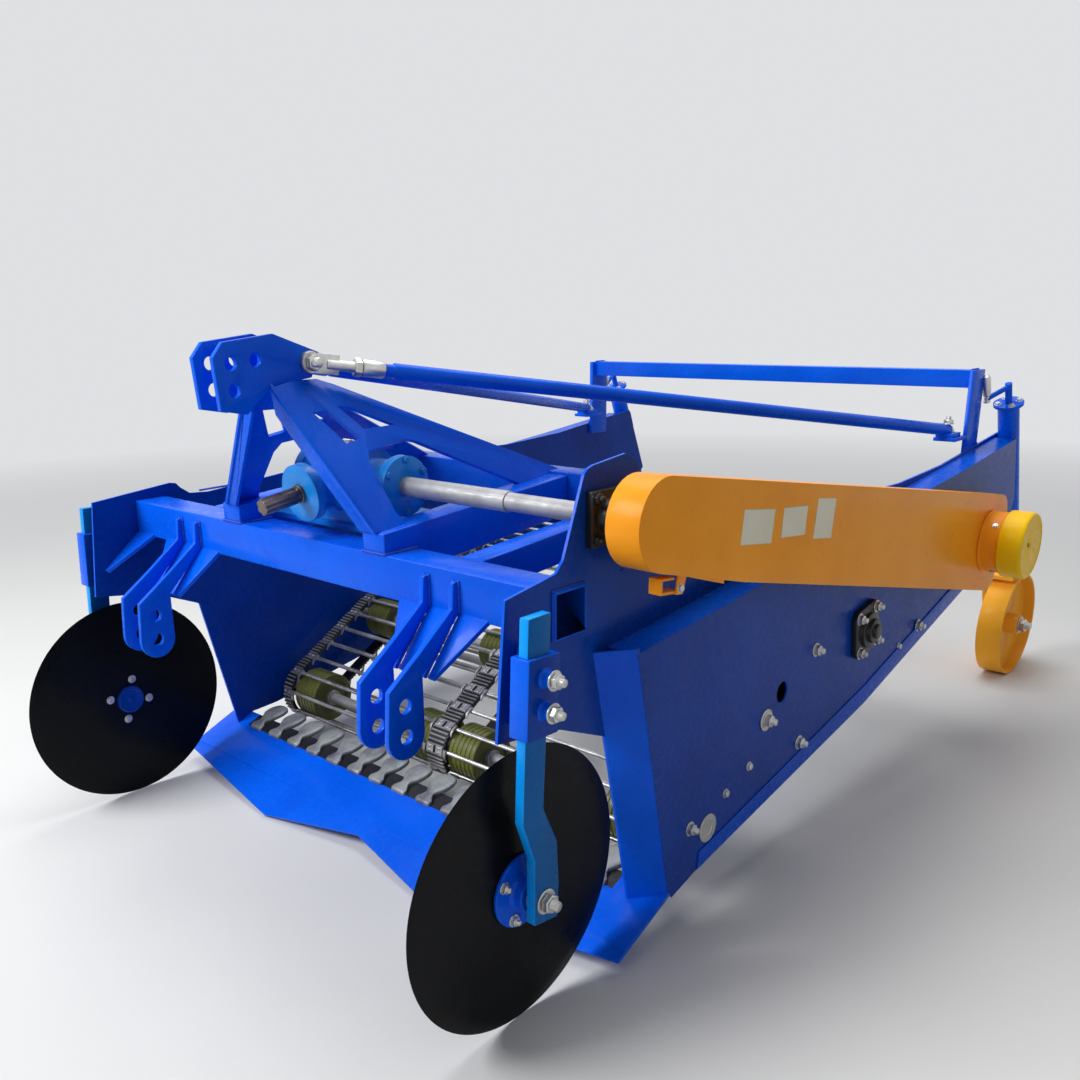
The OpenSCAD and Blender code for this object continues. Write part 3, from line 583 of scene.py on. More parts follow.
# A rod with flattened ends, its rivets, the clamp on the middle belt and the hooks beside it.
rod = turned(12, [(5.5, 34), (5.5, 608)])
open_up(rod)
for way, flat in ((1, 30), (-1, 21)):
    pick_faces(lambda middle, normal: normal.z * way > 0.9)
    pull(0, 4.5, 9 * way)
    bpy.ops.transform.resize(value=(1.35, 0.42, 1))
    pull(0, 0, flat * way)
close_up()
clamp = block(20, 2.4, 24, (0, 7.4, 16))
open_up(clamp)
pick_faces(lambda middle, normal: normal.y > 0.9)
bpy.ops.mesh.inset(thickness=0.0015, depth=0.001)
close_up()
web_parts = [rod, clamp]
for place in ((-5, 9.4, 16), (5, 9.4, 16), (0, 6.6, 624), (0, 6.6, 640)):
    web_parts.append(settle(twin_of(rivet), shift(*place) @ aim((0, 1, 0)) @ Matrix.Scale(3.4 * MM, 4)))
for z in (37, 603):
    hook = block(14, 5, 8, (-1, 7.5, z))
    open_up(hook)
    pick_faces(lambda middle, normal: normal.x < -0.9)
    for along, down, taper in ((-9, -2, 0.8), (-8, -7, 0.6)):
        pull(along, down, 0)
        bpy.ops.transform.resize(value=(1, taper, taper))
    close_up()
    web_parts.append(hook)
rod = join(web_parts)
patterns.append(rod)

# A cleat of the belt, of length 1 across the machine.
cleat = block(4.6, 3.8, 1000, (0, 5.7, 0))
open_up(cleat)
pick_faces(lambda middle, normal: normal.y > 0.9)
bpy.ops.mesh.inset(thickness=0.0010, depth=0.0007)
close_up()
patterns += [cleat, belt]

# Each side's belts, as x from edge to edge. The middle belt is one band, carried with the left half.
BELTS = {"left": ((-31, 31), (612, 650)), "right": ((612, 650),)}
CLEATS = 5
for side, word in SIDES:
    rods = copies(rod, [web_place(0, k * ROD_PITCH) @ Matrix.Diagonal((1, 1, side, 1)) for k in range(ROD_COUNT)])
    if side < 0:
        face_outwards(rods)
    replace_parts(finished(rods, "web_rods_" + word, rod_steel), "rod_web_" + word)
    bands, ribs = [], []
    for low, high in BELTS[word]:
        middle = side * (low + high) / 2
        bands.append(to_spot(middle, 0, 0) @ Matrix.Diagonal((high - low, 1, 1, 1)) @ to_spot(0, 0, 0).inverted())
        as_wide = Matrix.Diagonal((1, 1, (high - low - 4) * MM, 1))
        ribs += [web_place(middle, (k + j / (CLEATS + 1)) * ROD_PITCH) @ as_wide
                 for k in range(ROD_COUNT) for j in range(1, CLEATS + 1)]
    finished(copies(belt, bands), "web_belts_" + word, belt_rubber)
    finished(copies(cleat, ribs), "web_cleats_" + word, cleat_painted_highlight)

# ---- rollers and their shafts ----

grooves = []
for z in (-30, -15, 0, 15, 30):
    grooves += [(ROLLER_R, z - 2.5), (67.6, z - 1.5), (67.6, z + 1.5), (ROLLER_R, z + 2.5)]
roller = turned(40, [(13, -38), (48, -38), (54, -45), (67, -45), (ROLLER_R, -42.5)] + grooves
                + [(ROLLER_R, 42.5), (67, 45), (54, 45), (48, 38), (13, 38)])
collar = turned(24, [(22, -52), (24, -50), (24, 50), (22, 52)])
patterns += [roller, collar]


def along_shaft(pattern, across, swell):
    """Copies of a round piece at the four rollers of a shaft, made wider or narrower."""
    return copies(pattern, [across @ shift(0, 0, x) @ Matrix.Diagonal((swell, swell, 1, 1)) for x in ROLLERS_X])


# Name, axle, radius of its rollers and of its shaft, half its length, and the node it stands for.
SHAFTS = (("nose", NOSE, ROLLER_R, 15, 713.5, "nose_rollers"), ("knee", KNEE, 56.5, 15, 713.5, "carrier_rollers"),
          ("idler", IDLER, 32.5, 12, 713.5, ""), ("drive", DRIVE, ROLLER_R, 18, 764.5, "drive_rollers"))
for word, axle, r_roller, r_shaft, reach, node in SHAFTS:
    across = stand((0, *axle), (1, 0, 0))
    finished(along_shaft(roller, across, r_roller / ROLLER_R), word + "_web_rollers", olive_rubber)
    shaft = turned(24, [(r_shaft - 2, -reach), (r_shaft, -reach + 2), (r_shaft, reach - 2), (r_shaft - 2, reach)])
    collars = along_shaft(collar, across, (r_shaft + 7) / 24)
    shaft = finished(join([settle(shaft, across), collars]), word + "_shaft", shaft_steel)
    if node:
        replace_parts(shaft, node)

# ---- coulter discs ----

for side, word in SIDES:
    body = "disc_" + word
    out = stand((side * DISC_X, *DISC_AXLE), (side, 0, 0))
    blade = turned(128, [(20, -2.6), (60, -3), (236, -3), (238, -2.8), (258, -0.9), (BLADE_R, -0.2), (BLADE_R, 0.2),
                         (258, 0.9), (238, 2.8), (236, 3), (60, 3), (20, 2.6)])
    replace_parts(finished(settle(blade, out), "disc_blade_" + word, disc_black, body), "disc_" + word)
    flange = turned(64, [(24, 2), (66, 3), (68, 5), (68, 9), (66, 11), (37, 11), (33, 14), (31, 17), (31, 31),
                         (28, 33), (15, 33)])
    finished(settle(flange, out), "disc_flange_" + word, royal, body)
    cap = turned(48, [(30, -2), (36, -3), (36, -9), (34.5, -12), (31.5, -13), (29, -12.2), (27.5, -9.5), (26, -9),
                      (8, -9.6), (6, -11), (3, -11.2)])
    # The cap takes the painted shade copy of the blue.
    finished(settle(cap, out), "disc_cap_" + word, blue_in_painted_shade, body)
    # The discs have come to rest a little turned.
    at_rest = -0.5 if side > 0 else -0.22
    quarters = [at_rest + k * math.pi / 2 for k in range(4)]
    ring = [(DISC_AXLE[0] + y, DISC_AXLE[1] + z) for y, z in around(54, quarters)]
    fasteners("disc_bolts_" + word, bolt, [(side * 691, y, z, (-side, 0, 0), 8.5) for y, z in ring], body)
    fasteners("disc_nuts_" + word, nut, [(side * 705, y, z, (side, 0, 0), 9) for y, z in ring], body)

# ---- shanks and their clamps ----

fasteners("axle_nuts", nut, outward([(756, *DISC_AXLE, 18)]))
spacer = turned(32, [(15, 0), (23, 0.5), (24, 1.5), (24, 4), (23, 5), (15, 5.2)])
finished(copies(spacer, on_the_sides(730.6, *DISC_AXLE)), "axle_spacers", zinc)
boss = turned(28, [(18, -0.5), (17, 1), (14.6, 3.2), (14, 5), (14, 16.5), (12.8, 18), (8, 18.1)])
patterns += [spacer, boss]
CLAMP_BOLTS = [(766, -24, 671), (766, -27, 617)]
finished(copies(boss, on_the_sides(*CLAMP_BOLTS[0]) + on_the_sides(*CLAMP_BOLTS[1])), "clamp_bosses", royal)
fasteners("clamp_bolts", nut, outward([(x + 18, y, z, 13.6) for x, y, z in CLAMP_BOLTS]))

# ---- side panels ----

# Nuts and bolts on the panels: x, y, z, radius.
PANEL_NUTS = [(PANEL_X, 916, 475, 13), (PANEL_X, 864, 265, 13), (767.5, 1510, 392, 13), (PANEL_X, 417, 226, 12)]
PANEL_BOLTS = [(PANEL_X, 640, 284, 8), (PANEL_X, 548, 255, 8), (PANEL_X, 1400, 360, 8)]
fasteners("panel_nuts", nut, outward(PANEL_NUTS))
fasteners("panel_bolts", bolt, outward(PANEL_BOLTS))
cover = turned(48, [(26, -0.4), (30, 0), (30.5, 0.6), (30.5, 3.2), (30, 3.8), (15, 3.9), (14.4, 3.2), (6, 3.2)])
pivot = turned(40, [(20, -0.4), (24, 0), (24.5, 0.6), (24.5, 3.4), (24, 4), (12, 4.1)])
patterns += [cover, pivot]
finished(copies(cover, on_the_sides(PANEL_X, 480, 203)), "nose_shaft_covers", zinc)
finished(copies(pivot, on_the_sides(PANEL_X, 700, 372)), "knee_washers", zinc)
fasteners("knee_nuts", nut, outward([(PANEL_X + 4, 700, 372, 14)]))
BEARING_AT, BEARING_LEAN = (1160, 467), math.radians(9)
corners = [(BEARING_AT[0] + 45 * (a * math.cos(BEARING_LEAN) - b * math.sin(BEARING_LEAN)),
            BEARING_AT[1] + 45 * (a * math.sin(BEARING_LEAN) + b * math.cos(BEARING_LEAN))) for a, b in CORNERS]
fasteners("bearing_nuts", nut, outward([(PANEL_X + 14, y, z, 12) for y, z in corners]))
fasteners("shaft_bearing_nuts", nut, [(WALL_X + 14, GEARBOX_AT[1] + a * 36, GEARBOX_AT[2] + b * 36, (1, 0, 0), 10)
                                      for a, b in CORNERS], "frame", bearing_black)

# ---- drive case ----

case_end = stand((CASE_X, *REAR_SHAFT), (1, 0, 0))
base = turned(72, [(70, -0.5), (84, 0), (86, 2), (86, 5), (84, 8), (84, 46), (86, 48), (86, 52.5), (70, 53)])
finished(settle(base, case_end), "cap_base", case_orange)
shell = turned(96, [(78, 50), (88, 50.5), (91, 53), (92, 57), (92, 104), (91, 109), (88, 112.5), (84, 113.6),
                    (82.5, 112.6), (80, 112), (14, 112.4), (12, 113.4), (5, 113.6)])
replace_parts(finished(settle(shell, case_end), "cap_shell", cap_yellow), "drive_cap")
grommet = turned(20, [(6.5, -0.3), (6.5, 0.9), (5.8, 1.3), (4.6, 1.3), (4.0, 0.6), (3.6, -0.2)])
finished(settle(grommet, stand((944.2, 1762, 593), (1, 0, 0))), "cap_grommet", belt_rubber)
fasteners("cap_base_bolts", bolt, [(CASE_X + 33, REAR_SHAFT[0] + y, REAR_SHAFT[1] + z, (0, y, z), 6)
                                   for y, z in around(84, (0.5, 2.4, 4.2))])

# Blank stickers: the middle as y and z, the length, the height and how far the rear end is lower.
STICKERS = [(498.5, 835.5, 115, 65, 16), (639, 823, 98, 58, 10), (768, 809, 82, 82, 12)]
stickers = []
for y, z, length, height, fall in STICKERS:
    sheet = block(length, height, 0.5)
    open_up(sheet)
    pick_faces(lambda middle, normal: normal.z > 0.9)
    bpy.ops.mesh.inset(thickness=0.004, depth=-0.0001)
    close_up()
    slope = math.atan2(-fall, length)
    on_case = Matrix(((0, 0, 1), (math.cos(slope), -math.sin(slope), 0), (math.sin(slope), math.cos(slope), 0)))
    stickers.append(settle(sheet, to_spot(CASE_X + 0.2, y, z) @ on_case.to_4x4()))
finished(join(stickers), "blank_stickers", sticker)

tab = block(14, 44, 46, (700, 1791, 740))
open_up(tab)
pick_faces(lambda middle, normal: normal.z > 0.9)
bpy.ops.transform.resize(value=(1, 0.6, 1))
close_up()
tab.data.transform(to_spot(0, 0, 0))
soften(tab, 1.5)
finished(tab, "case_tab", case_orange)
fasteners("case_tab_bolt", bolt, [(WALL_X + 7, 1791, 742, (1, 0, 0), 9)])

# ---- gearbox ----

# The gearbox's own frame, which is tilted. Its bolts: x, y, z, direction, radius.
GEAR = to_spot(*GEARBOX_AT) @ Matrix.Rotation(math.radians(GEARBOX_TILT), 4, "X")
sixths = [0.35 + k * math.pi / 3 for k in range(6)]
GEARBOX_BOLTS = ([(-104, y, z, (-1, 0, 0), 7.5) for y, z in around(51, sixths)]
                 + [(198, y, z, (1, 0, 0), 7) for y, z in around(54, sixths)]
                 + [(x, y, -70.5, (0, 0, 1), 11) for x in (-112, 112) for y in (-30, 60)])
finished(copies(bolt, [GEAR @ shift(x, y, z) @ aim(along, 0.5 * i) @ Matrix.Scale(r * MM, 4)
                       for i, (x, y, z, along, r) in enumerate(GEARBOX_BOLTS)]), "gearbox_bolts", gear_blue)
plug = turned(6, [(15, 70), (15, 80), (13, 82)])
vent = turned(20, [(19, 68), (19, 72), (17, 73), (9, 73.2)])
finished(settle(join([plug, vent]), GEAR @ Matrix.Rotation(math.radians(-20), 4, "X")), "filler_plug", zinc)
ribs = []
for x in (-62, -22, 22, 62):
    rib = turned(64, [(66, -3.5), (75, -2.5), (75, 2.5), (66, 3.5)])
    ribs.append(settle(rib, GEAR @ shift(x, 0, 0) @ aim((1, 0, 0))))
finished(join(ribs), "gearbox_ribs", gear_blue)

# ---- mast and stays ----

fasteners("mast_pin_nuts", nut, outward([(53, 98, 1133, 17)]))
STAY_FROM = Vector((47, 98, 1133))
STAY_TO = Vector((660, 1873, 872))
stay_way = (STAY_TO - STAY_FROM).normalized()
screw = turned(18, [(11, 36)] + thread(11.6, 10.2, 37.2, 2.4, 26) + [(11, 101)])
lock = turned(6, [(17, 0), (19.5, 2.5), (19.5, 14), (17, 16.5)])
sleeve = turned(28, [(13, 0), (16.4, 0), (17.6, 2), (17.6, 46), (16.4, 48), (13, 48)])
patterns += [screw, lock, sleeve]
for name, pattern, along in (("stay_screws", screw, 0), ("stay_lock_nuts", lock, 92), ("stay_sleeves", sleeve, 109)):
    places = []
    for side, word in SIDES:
        way = Vector((side * stay_way.x, stay_way.y, stay_way.z))
        places.append(stand(Vector((side * STAY_FROM.x, STAY_FROM.y, STAY_FROM.z)) + way * along, way))
    finished(copies(pattern, places), name, zinc)
fasteners("stay_lug_bolts", nut, on_both_sides([(660, 1873, 889, (0, 0, 1), 13), (660, 1897, 864, (0, 0, 1), 10)]))

# ---- screw jacks and wheels ----

JACK_TOP, JACK_LEAN = (731, 2150, 925), 21
CRANK_END = (-31.464, -86.48, 60)
for side, word in SIDES:
    jack = (to_spot(side * JACK_TOP[0], *JACK_TOP[1:]) @ Matrix.Diagonal((side, 1, 1, 1))
            @ Matrix.Rotation(math.radians(JACK_LEAN), 4, "X"))
    grip = turned(24, [(6, -14), (9.5, -12), (9.5, -8), (7, -6), (7, 6), (10.5, 10), (12, 30), (12, 60), (10.5, 68),
                       (7, 71), (3, 72)])
    settle(grip, jack @ shift(*CRANK_END))
    face_outwards(grip)
    finished(grip, "jack_grip_" + word, zinc)
    flange_bolts = copies(bolt, [jack @ shift(x, y, 8) @ Matrix.Scale(8 * MM, 4)
                                 for x, y in around(30, (0.6, 2.17, 3.74, 5.31))])
    face_outwards(flange_bolts)
    finished(flange_bolts, "jack_bolts_" + word, zinc)
    fasteners("wheel_nut_" + word, nut, [(side * 767, *WHEEL_AXLE, (side, 0, 0), 22)], "jack_leg_" + word)

# ---- weld beads ----

ripple = turned(8, [(0.45, -0.75), (0.86, -0.4), (1.0, 0.05), (0.86, 0.45), (0.5, 0.75)], 1)
patterns.append(ripple)


def weld(name, lines, radius):
    """Beads of weld metal along straight lines, each given by its two ends in millimetres."""
    matrices = []
    for start, end in lines:
        start, end = Vector(start), Vector(end)
        way = (end - start).normalized()
        steps = max(2, round((end - start).length / (1.15 * radius)))
        for k in range(steps + 1):
            along = 0.075 * radius * math.sin(1.9 * k)
            place = start + (end - start) * k / steps
            size = radius * (1 + 0.10 * math.sin(2.7 * k + start.x))
            matrices.append(stand(place, way) @ shift(0, 0, along) @ Matrix.Scale(size * MM, 4))
    finished(copies(ripple, matrices), name, weld_blue)


# Each weld: its radius, and the two ends of its beads on the left. The right has the same.
WELDS = {
    "hitch_welds": (3.4, [((x, 69, 704), (x, 69, 760)) for x in (389, 403, 467, 481)]),
    "beam_end_welds": (2.4, [((701, 70, 695), (701, 70, 779)), ((701, 155, 695), (701, 155, 779)),
                             ((701, 71, 694), (701, 154, 694)), ((701, 71, 780), (701, 154, 780))]),
    "rail_welds": (3.4, [((214, 71, 780), (214, 153, 781)), ((281, 71, 780), (281, 153, 781)),
                         ((216, 69.5, 780), (279, 69.5, 780))]),
    "channel_welds": (3.4, [((693, 619, 770), (693, 619, 858)), ((693, 691, 770), (693, 691, 858))]),
    "panel_welds": (3.0, [((701, 260, 779), (701, 560, 783))]),
    "post_welds": (3.4, [((693, 1934, 772), (693, 1934, 815)), ((693, 2026, 772), (693, 2026, 822)),
                         ((681, 1956, 984), (681, 2004, 984)), ((681, 1956, 1036), (681, 2004, 1036))]),
}
for name, (radius, beads) in WELDS.items():
    weld(name, beads + [((-a[0], a[1], a[2]), (-b[0], b[1], b[2])) for a, b in beads], radius)

# ---- hitch brackets and their sloping ribs ----

TONGUE_T, PIN_Y, PIN_ZS, PIN_R = 12, -68, (561, 503), 14.25
tongue = [(70, 762), (57, 759), (53, 712), (-28, 650), (-104, 596)]
tongue += [(PIN_Y + y, PIN_ZS[1] + z) for y, z in around(43, [math.radians(180 + 15 * k) for k in range(13)])]
tongue += [(-25, 606), (70, 700)]
tongue_plate = bored(plate(tongue, TONGUE_T), [(PIN_Y, z, PIN_R) for z in PIN_ZS])
soften(tongue_plate, 1.4)
patterns.append(tongue_plate)


def sloping_rib(outline, top, tip):
    """A rib 10 mm thick that slopes from one (y, z) to another. Its outline is (x, share of the way down)."""
    way = Vector((0, tip[0] - top[0], tip[1] - top[1]))
    down = way.normalized()
    across = Vector((1, 0, 0))
    slope = Matrix((across.cross(down), across, down)).transposed().to_4x4()
    rib = plate([(x, share * way.length) for x, share in outline], 10)
    return settle(soften(rib, 1.6), to_spot(0, *top) @ slope)


def plate_on(side, x, outline, thickness):
    """A plate whose inner face is x from the machine's middle, on its left or right."""
    return settle(plate(outline, thickness), to_spot(x if side > 0 else -x - thickness, 0, 0))


# The web between the two plates, a rib outside them and one inside, and the rib at the beam's end.
BRACKET_RIBS = ([(401, 0), (469, 0), (469, 1), (401, 1)], [(479, 0), (556, 0), (492, 1), (479, 1)],
                [(314, 0), (391, 0), (391, 1), (378, 1)])
BEAM_RIB = [(694, 0), (612, 0), (682, 1), (694, 1)]
RIB_TOP, BRACKET_RIB_TIP, BEAM_RIB_TIP = (72, 704), (-14, 600), (-35, 616)
for side, word in SIDES:
    parts = [settle(twin_of(tongue_plate), to_spot(x if side > 0 else -x - TONGUE_T, 0, 0)) for x in (390, 468)]
    parts += [sloping_rib([(side * x, down) for x, down in outline], RIB_TOP, BRACKET_RIB_TIP)
              for outline in BRACKET_RIBS]
    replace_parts(finished(join(parts), "hitch_bracket_" + word, royal), "hitch_" + word)
    rib = sloping_rib([(side * x, down) for x, down in BEAM_RIB], RIB_TOP, BEAM_RIB_TIP)
    finished(rib, "beam_rib_" + word, royal)

# ---- construction parts with their corners softened ----

def eased(name, width, segments=2, body="frame"):
    """A copy of a construction part in its own finish, with rounded corners, which stands in for it."""
    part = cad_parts[name]
    piece = twin_of(part)
    open_up(piece)
    pick_all()
    bpy.ops.mesh.remove_doubles(threshold=0.00002)
    bpy.ops.mesh.dissolve_limited(angle_limit=math.radians(0.6))
    bpy.ops.object.mode_set(mode="OBJECT")
    soften(piece, width, segments, 35)
    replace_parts(finished(piece, "rounded_" + name, part.data.materials[0], body), name)
    return piece


# Node, width of the rounding in millimetres, and where they differ its segments and body.
EASED = [("drive_case", 3.0, 3), ("gearbox", 2.4), ("flange_bearing", 1.6), ("shaft_bearing", 1.6),
         ("front_beam", 4.0, 3), ("gearbox_rails", 2.5), ("mast_plates", 1.6), ("leg_plate_left", 1.6),
         ("leg_plate_right", 1.6), ("rear_posts", 2.6), ("cross_channel", 2.5), ("share", 1.2),
         ("wheel_left", 1.8, 2, "wheel_left"), ("wheel_right", 1.8, 2, "wheel_right"), ("jack_tube_left", 1.5),
         ("jack_tube_right", 1.5), ("cross_shaft", 1.0, 2, "cross_shaft"), ("input_shaft", 0.8, 2, "input_shaft"),
         ("stays", 1.4)]
eased_pieces = {row[0]: eased(*row) for row in EASED}

# Painted light: the side walls and box panels are in the painted shade copy of the blue. Faces that face forward get
# the plain royal blue, as do the walls' edges and tops; the panels' other edges and tops get the painted half shade
# copy.
for side, word in SIDES:
    repaint(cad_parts["side_wall_" + word], royal,
            lambda middle, normal: normal.y < -0.5 or abs(normal.x) < 0.5)
    box_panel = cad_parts["side_box_" + word]
    repaint(box_panel, royal, lambda middle, normal: normal.y < -0.5)
    repaint(box_panel, blue_in_painted_half_shade, lambda middle, normal: normal.y >= -0.5 and abs(normal.x) < 0.5)

# The wheels' bores, which are narrower than BORE_BELOW, get play on their axles. In metres.
BORE_BELOW, BORE_PLAY = 0.0175, 0.0006
hub_middle = spot(0, *WHEEL_AXLE)
for side, word in SIDES:
    for corner in eased_pieces["wheel_" + word].data.vertices:
        from_axle = Vector((0, corner.co.y - hub_middle.y, corner.co.z - hub_middle.z))
        if from_axle.length < BORE_BELOW:
            corner.co += from_axle.normalized() * BORE_PLAY

# Painted shade: inside the ends of the beam the faces take the painted shade copy of the blue.
BEAM_INSIDE = 38.5 * MM
beam_middle = spot(0, *BEAM_MIDDLE)
repaint(eased_pieces["front_beam"], blue_in_painted_shade,
        lambda middle, normal: max(abs(middle.y - beam_middle.y), abs(middle.z - beam_middle.z)) < BEAM_INSIDE)

# ---- shanks and their sleeves, which lean forward as they go down ----

# A shank's outline. Its sleeve is 24 mm further back than the construction's and leans with it.
SHANK_OUTLINE = [(-51, 771), (-69, 425), (-41, 348), (-43, 226), (17, 217), (21, 286), (16, 365), (-18, 437),
                 (3, 771)]
SLEEVE_BACK, SLEEVE_MIDDLE, SLEEVE_LEAN = 24, (0, -45, 640), math.radians(-2.8)
sleeve_middle = to_spot(*SLEEVE_MIDDLE)
leaning = shift(0, SLEEVE_BACK, 0) @ sleeve_middle @ Matrix.Rotation(SLEEVE_LEAN, 4, "X") @ sleeve_middle.inverted()
for side, word in SIDES:
    bar = soften(plate_on(side, 736, SHANK_OUTLINE, 20), 2.6)
    axle = settle(turned(28, [(10, 0), (12, 2), (12, 66)]), stand((side * 688, *DISC_AXLE), (side, 0, 0)))
    shank = finished(join([bar, axle]), "bent_shank_" + word, shank_blue)
    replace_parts(shank, "shank_" + word)
    clamp_sleeve = eased("shank_clamp_" + word, 2.0)
    clamp_sleeve.data.transform(leaning)
    # Painted shade: the flats of the shank and of its sleeve take darker copies of their blues, the edges keep the
    # plain ones.
    repaint(shank, shank_flats_painted_shade, lambda middle, normal: abs(normal.x) > 0.9)
    repaint(clamp_sleeve, blue_in_painted_shade, lambda middle, normal: abs(normal.x) > 0.9)

# ---- bent hem along the foot of each panel ----

HEM_OUTLINE = [(446, 121), (1199, 258), (1832, 423), (2163, 505), (2169, 556), (1832, 473), (1199, 308), (520, 172),
               (452, 160)]
# The hems take the painted half shade copy of the blue.
for side, word in SIDES:
    hem = soften(plate_on(side, PANEL_X - 0.5, HEM_OUTLINE, 3.5), 1.6, 3)
    finished(hem, "panel_hem_" + word, blue_in_painted_half_shade)

# The forks below the jacks are painted with their wheels.
FORK_TOP = 415 * MM
for side, word in SIDES:
    repaint(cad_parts["jack_leg_" + word], wheel_orange, lambda middle, normal: middle.z < FORK_TOP)

# The front of each stay is bare plated steel up to its lock nut.
lock_y = spot(0, 206, 0).y
repaint(eased_pieces["stays"], zinc, lambda middle, normal: middle.y < lock_y)

# ---- share ----

# Its outer corners reach a little further forward than a straight cut would.
share_piece = eased_pieces["share"]
corner_from = spot(755, 200, 0)
for corner in share_piece.data.vertices:
    if abs(corner.co.x - HITCH_ZERO.x) > corner_from.x - HITCH_ZERO.x and corner.co.y < corner_from.y:
        corner.co += Vector((0, -0.013, -0.0054))

# Painted shade: the strip of the share under the fingers takes the bearings' black.
STRIP_FROM, STRIP_HALF = 309, 655
open_up(share_piece)
for cut_at, across_cut in (((0, STRIP_FROM, 0), (0, 1, 0)), ((-STRIP_HALF, 0, 0), (1, 0, 0)),
                           ((STRIP_HALF, 0, 0), (1, 0, 0))):
    pick_all()
    bpy.ops.mesh.bisect(plane_co=spot(*cut_at), plane_no=across_cut)
bpy.ops.object.mode_set(mode="OBJECT")
strip_y = spot(0, STRIP_FROM, 0).y
repaint(share_piece, bearing_black, lambda middle, normal: middle.y > strip_y
        and abs(middle.x - HITCH_ZERO.x) < STRIP_HALF * MM)

# ---- sieve fingers ----

# Rows of a finger from its foot to its back: y, height of its top, half its width.
FINGER_ROWS = [(304, 104.0, 20), (307, 105.8, 24.5), (315, 109.2, 25), (322, 112.2, 19), (329, 115.2, 13.5),
               (336, 118.2, 13), (343, 121.0, 17), (350, 123.6, 23), (359, 126.2, 28.5), (371, 128.8, 31),
               (384, 131.0, 30.5), (396, 132.6, 27), (405, 133.4, 21.5), (410, 132.4, 14)]
FINGERS, FINGERS_HALF, FINGER_MIDDLE = 15, 612, (0, 340, 108)
bpy.ops.mesh.primitive_grid_add(x_subdivisions=4, y_subdivisions=len(FINGER_ROWS) - 1, size=1)
finger = bpy.context.object
open_up(finger)
bpy.ops.mesh.select_mode(type="VERT")
work = bmesh.from_edit_mesh(finger.data)
for row, (y, top, half) in enumerate(FINGER_ROWS):
    at = -0.5 + row / (len(FINGER_ROWS) - 1)
    for corner in [v for v in work.verts if abs(v.co.y - at) < 0.01 and v.co.z == 0]:
        drop = 2.2 * (2 * corner.co.x) ** 2
        corner.co = Vector((corner.co.x * 2 * half, y, top - drop + 0.001)) * MM
bmesh.update_edit_mesh(finger.data)
pick_all()
pull(0, 0, -11)
close_up()
soften(finger, 1.3, 1, 50)
patterns.append(finger)
finger_middle = shift(*FINGER_MIDDLE)
fingers = []
for i in range(FINGERS):
    x = -FINGERS_HALF + i * 2 * FINGERS_HALF / (FINGERS - 1)
    askew = Matrix.Rotation(math.radians(1.6 * math.sin(5.1 * i)), 4, "Z")
    fingers.append(to_spot(x, 0, 0) @ finger_middle @ askew @ finger_middle.inverted())
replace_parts(finished(copies(finger, fingers), "cast_fingers", finger_steel, smooth=60), "sieve_fingers")

# ---- strap and latch under the drive case ----

latch = plate_on(1, 785, [(222, 788), (262, 784), (262, 779.5), (227, 783), (227, 764), (284, 757), (284, 752),
                          (222, 759)], 26)
strap = plate_on(1, 810, [(262, 753), (284, 750), (291, 772), (302, 795), (272, 800)], 4)
lip = plate_on(1, 806, [(240, 796), (240, 801), (387, 757), (387, 765), (392, 764), (392, 749)], 24)
finished(join([soften(latch, 1.2), soften(strap, 1.2), soften(lip, 0.8)]), "case_latch", case_orange)
fasteners("case_latch_bolt", bolt, [(814, 274, 763, (1, 0, 0), 7)])

for pattern in patterns:
    bpy.data.objects.remove(pattern)

# ---- floor, light and camera ----

bpy.ops.mesh.primitive_plane_add(size=240, location=(0, 0, 0))
floor = bpy.context.object
floor.name = "floor"
floor_paint, tree, shader = new_material("pale_floor")
tree.links.new(blend_colour(tree, noise(tree, 1.2, 6.0), (0.66, 0.66, 0.65), (0.72, 0.72, 0.71)),
               shader.inputs["Base Color"])
shader.inputs["Roughness"].default_value = 0.75
BACKDROP = (0.74, 0.75, 0.77)


def mixed(tree, share, a, b):
    """Shader a where the share is 0 and b where it is 1."""
    mix = tree.nodes.new("ShaderNodeMixShader")
    tree.links.new(share, mix.inputs["Fac"])
    tree.links.new(a, mix.inputs[1])
    tree.links.new(b, mix.inputs[2])
    return mix.outputs["Shader"]


def seen_share(tree):
    """1 for what the camera sees, also in a reflection or through glass."""
    path = tree.nodes.new("ShaderNodeLightPath")
    total = path.outputs["Is Camera Ray"]
    for kind in ("Is Glossy Ray", "Is Transmission Ray"):
        more = tree.nodes.new("ShaderNodeMath")
        more.operation = "MAXIMUM"
        tree.links.new(total, more.inputs[0])
        tree.links.new(path.outputs[kind], more.inputs[1])
        total = more.outputs[0]
    return total


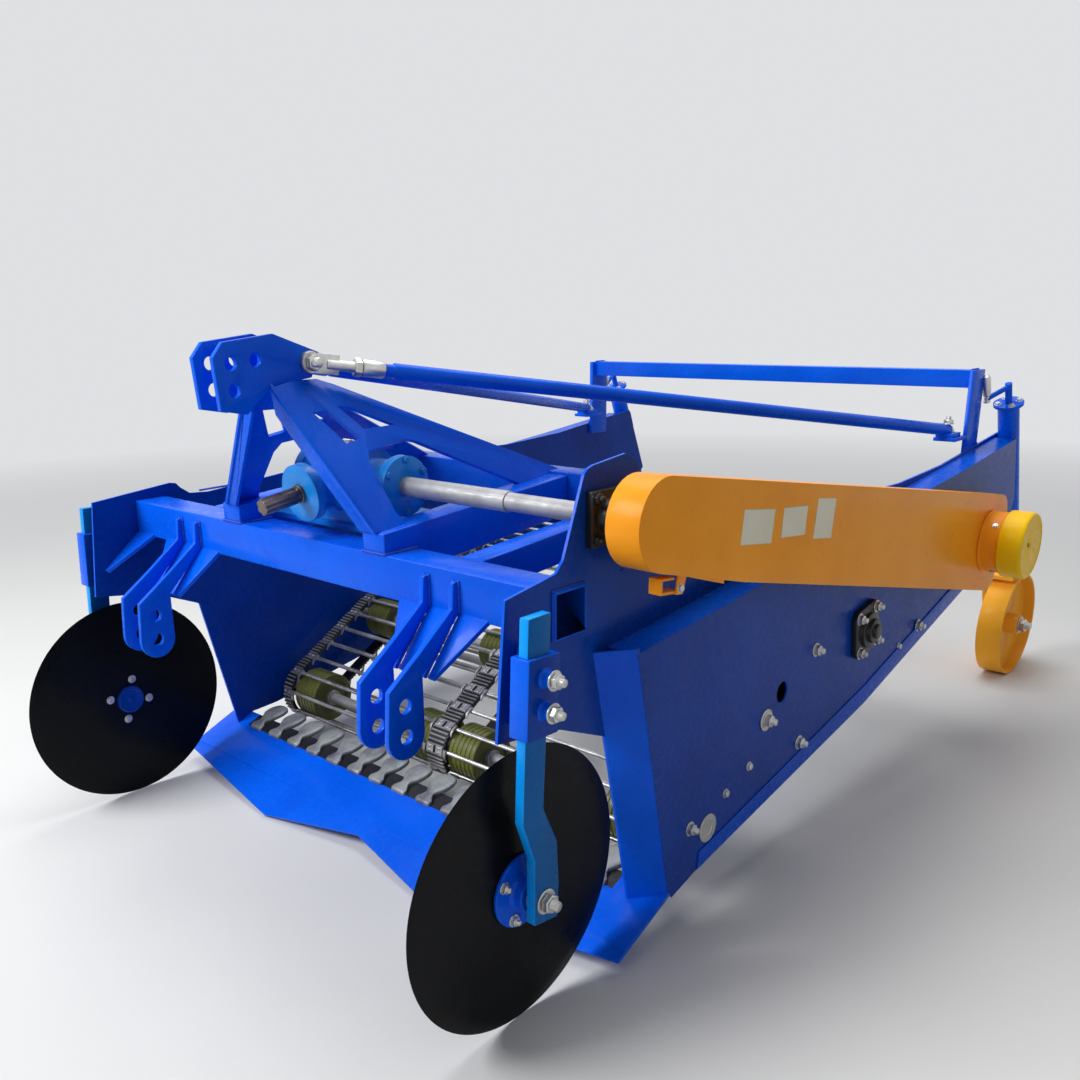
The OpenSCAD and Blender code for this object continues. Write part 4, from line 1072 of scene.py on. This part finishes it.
# Far from the machine the floor fades into the backdrop.
where = tree.nodes.new("ShaderNodeTexCoord")
far = tree.nodes.new("ShaderNodeVectorMath")
far.operation = "LENGTH"
tree.links.new(where.outputs["Object"], far.inputs[0])
fade = product(tree, ramp(tree, far.outputs["Value"], 2.2, 8.0), seen_share(tree))
glow = tree.nodes.new("ShaderNodeEmission")
glow.inputs["Color"].default_value = (*BACKDROP, 1)
tree.links.new(mixed(tree, fade, shader.outputs["BSDF"], glow.outputs["Emission"]),
               tree.nodes["Material Output"].inputs["Surface"])
floor.data.materials.append(floor_paint)

world = bpy.data.worlds.new("studio")
scene.world = world
world.use_nodes = True
tree = world.node_tree
soft = tree.nodes["Background"]
soft.inputs["Color"].default_value = (0.90, 0.92, 0.95, 1)
soft.inputs["Strength"].default_value = 0.28
backdrop = tree.nodes.new("ShaderNodeBackground")
backdrop.inputs["Color"].default_value = (*BACKDROP, 1)
tree.links.new(mixed(tree, seen_share(tree), soft.outputs["Background"], backdrop.outputs["Background"]),
               tree.nodes["World Output"].inputs["Surface"])


def soft_lamp(name, where, towards, size, power):
    """A square softbox at a place, pointed at another."""
    data = bpy.data.lights.new(name, "AREA")
    data.shape = "SQUARE"
    data.size = size
    data.energy = power
    lamp = bpy.data.objects.new(name, data)
    scene.collection.objects.link(lamp)
    lamp.location = where
    lamp.rotation_mode = "QUATERNION"
    lamp.rotation_quaternion = (Vector(towards) - Vector(where)).to_track_quat("-Z", "Y")


soft_lamp("key_softbox", (-2.2, -4.6, 3.8), (0, -0.3, 0.4), 2.6, 280)
soft_lamp("side_softbox", (4.8, -1.6, 2.6), (0, 0, 0.5), 3.0, 9)
soft_lamp("top_softbox", (-0.6, 0.6, 5.0), (0, 0, 0), 3.6, 158)

# The camera, as fitted to the photograph.
camera_data = bpy.data.cameras.new("photo_camera")
camera = bpy.data.objects.new("photo_camera", camera_data)
scene.collection.objects.link(camera)
scene.camera = camera
forward = Vector((-0.6605, 0.6904, -0.2951)).normalized()
right = Vector((0.7262, 0.6863, -0.0194))
right = (right - forward * right.dot(forward)).normalized()
up = right.cross(forward)
turn = Matrix((right, up, -forward)).transposed()
camera.matrix_world = to_spot(1741, -1156, 1222) @ turn.to_4x4()
camera_data.sensor_width = 36
camera_data.lens = 33.727
camera_data.shift_x = 0.0419
camera_data.shift_y = 0.0780

scene.view_settings.view_transform = "Standard"
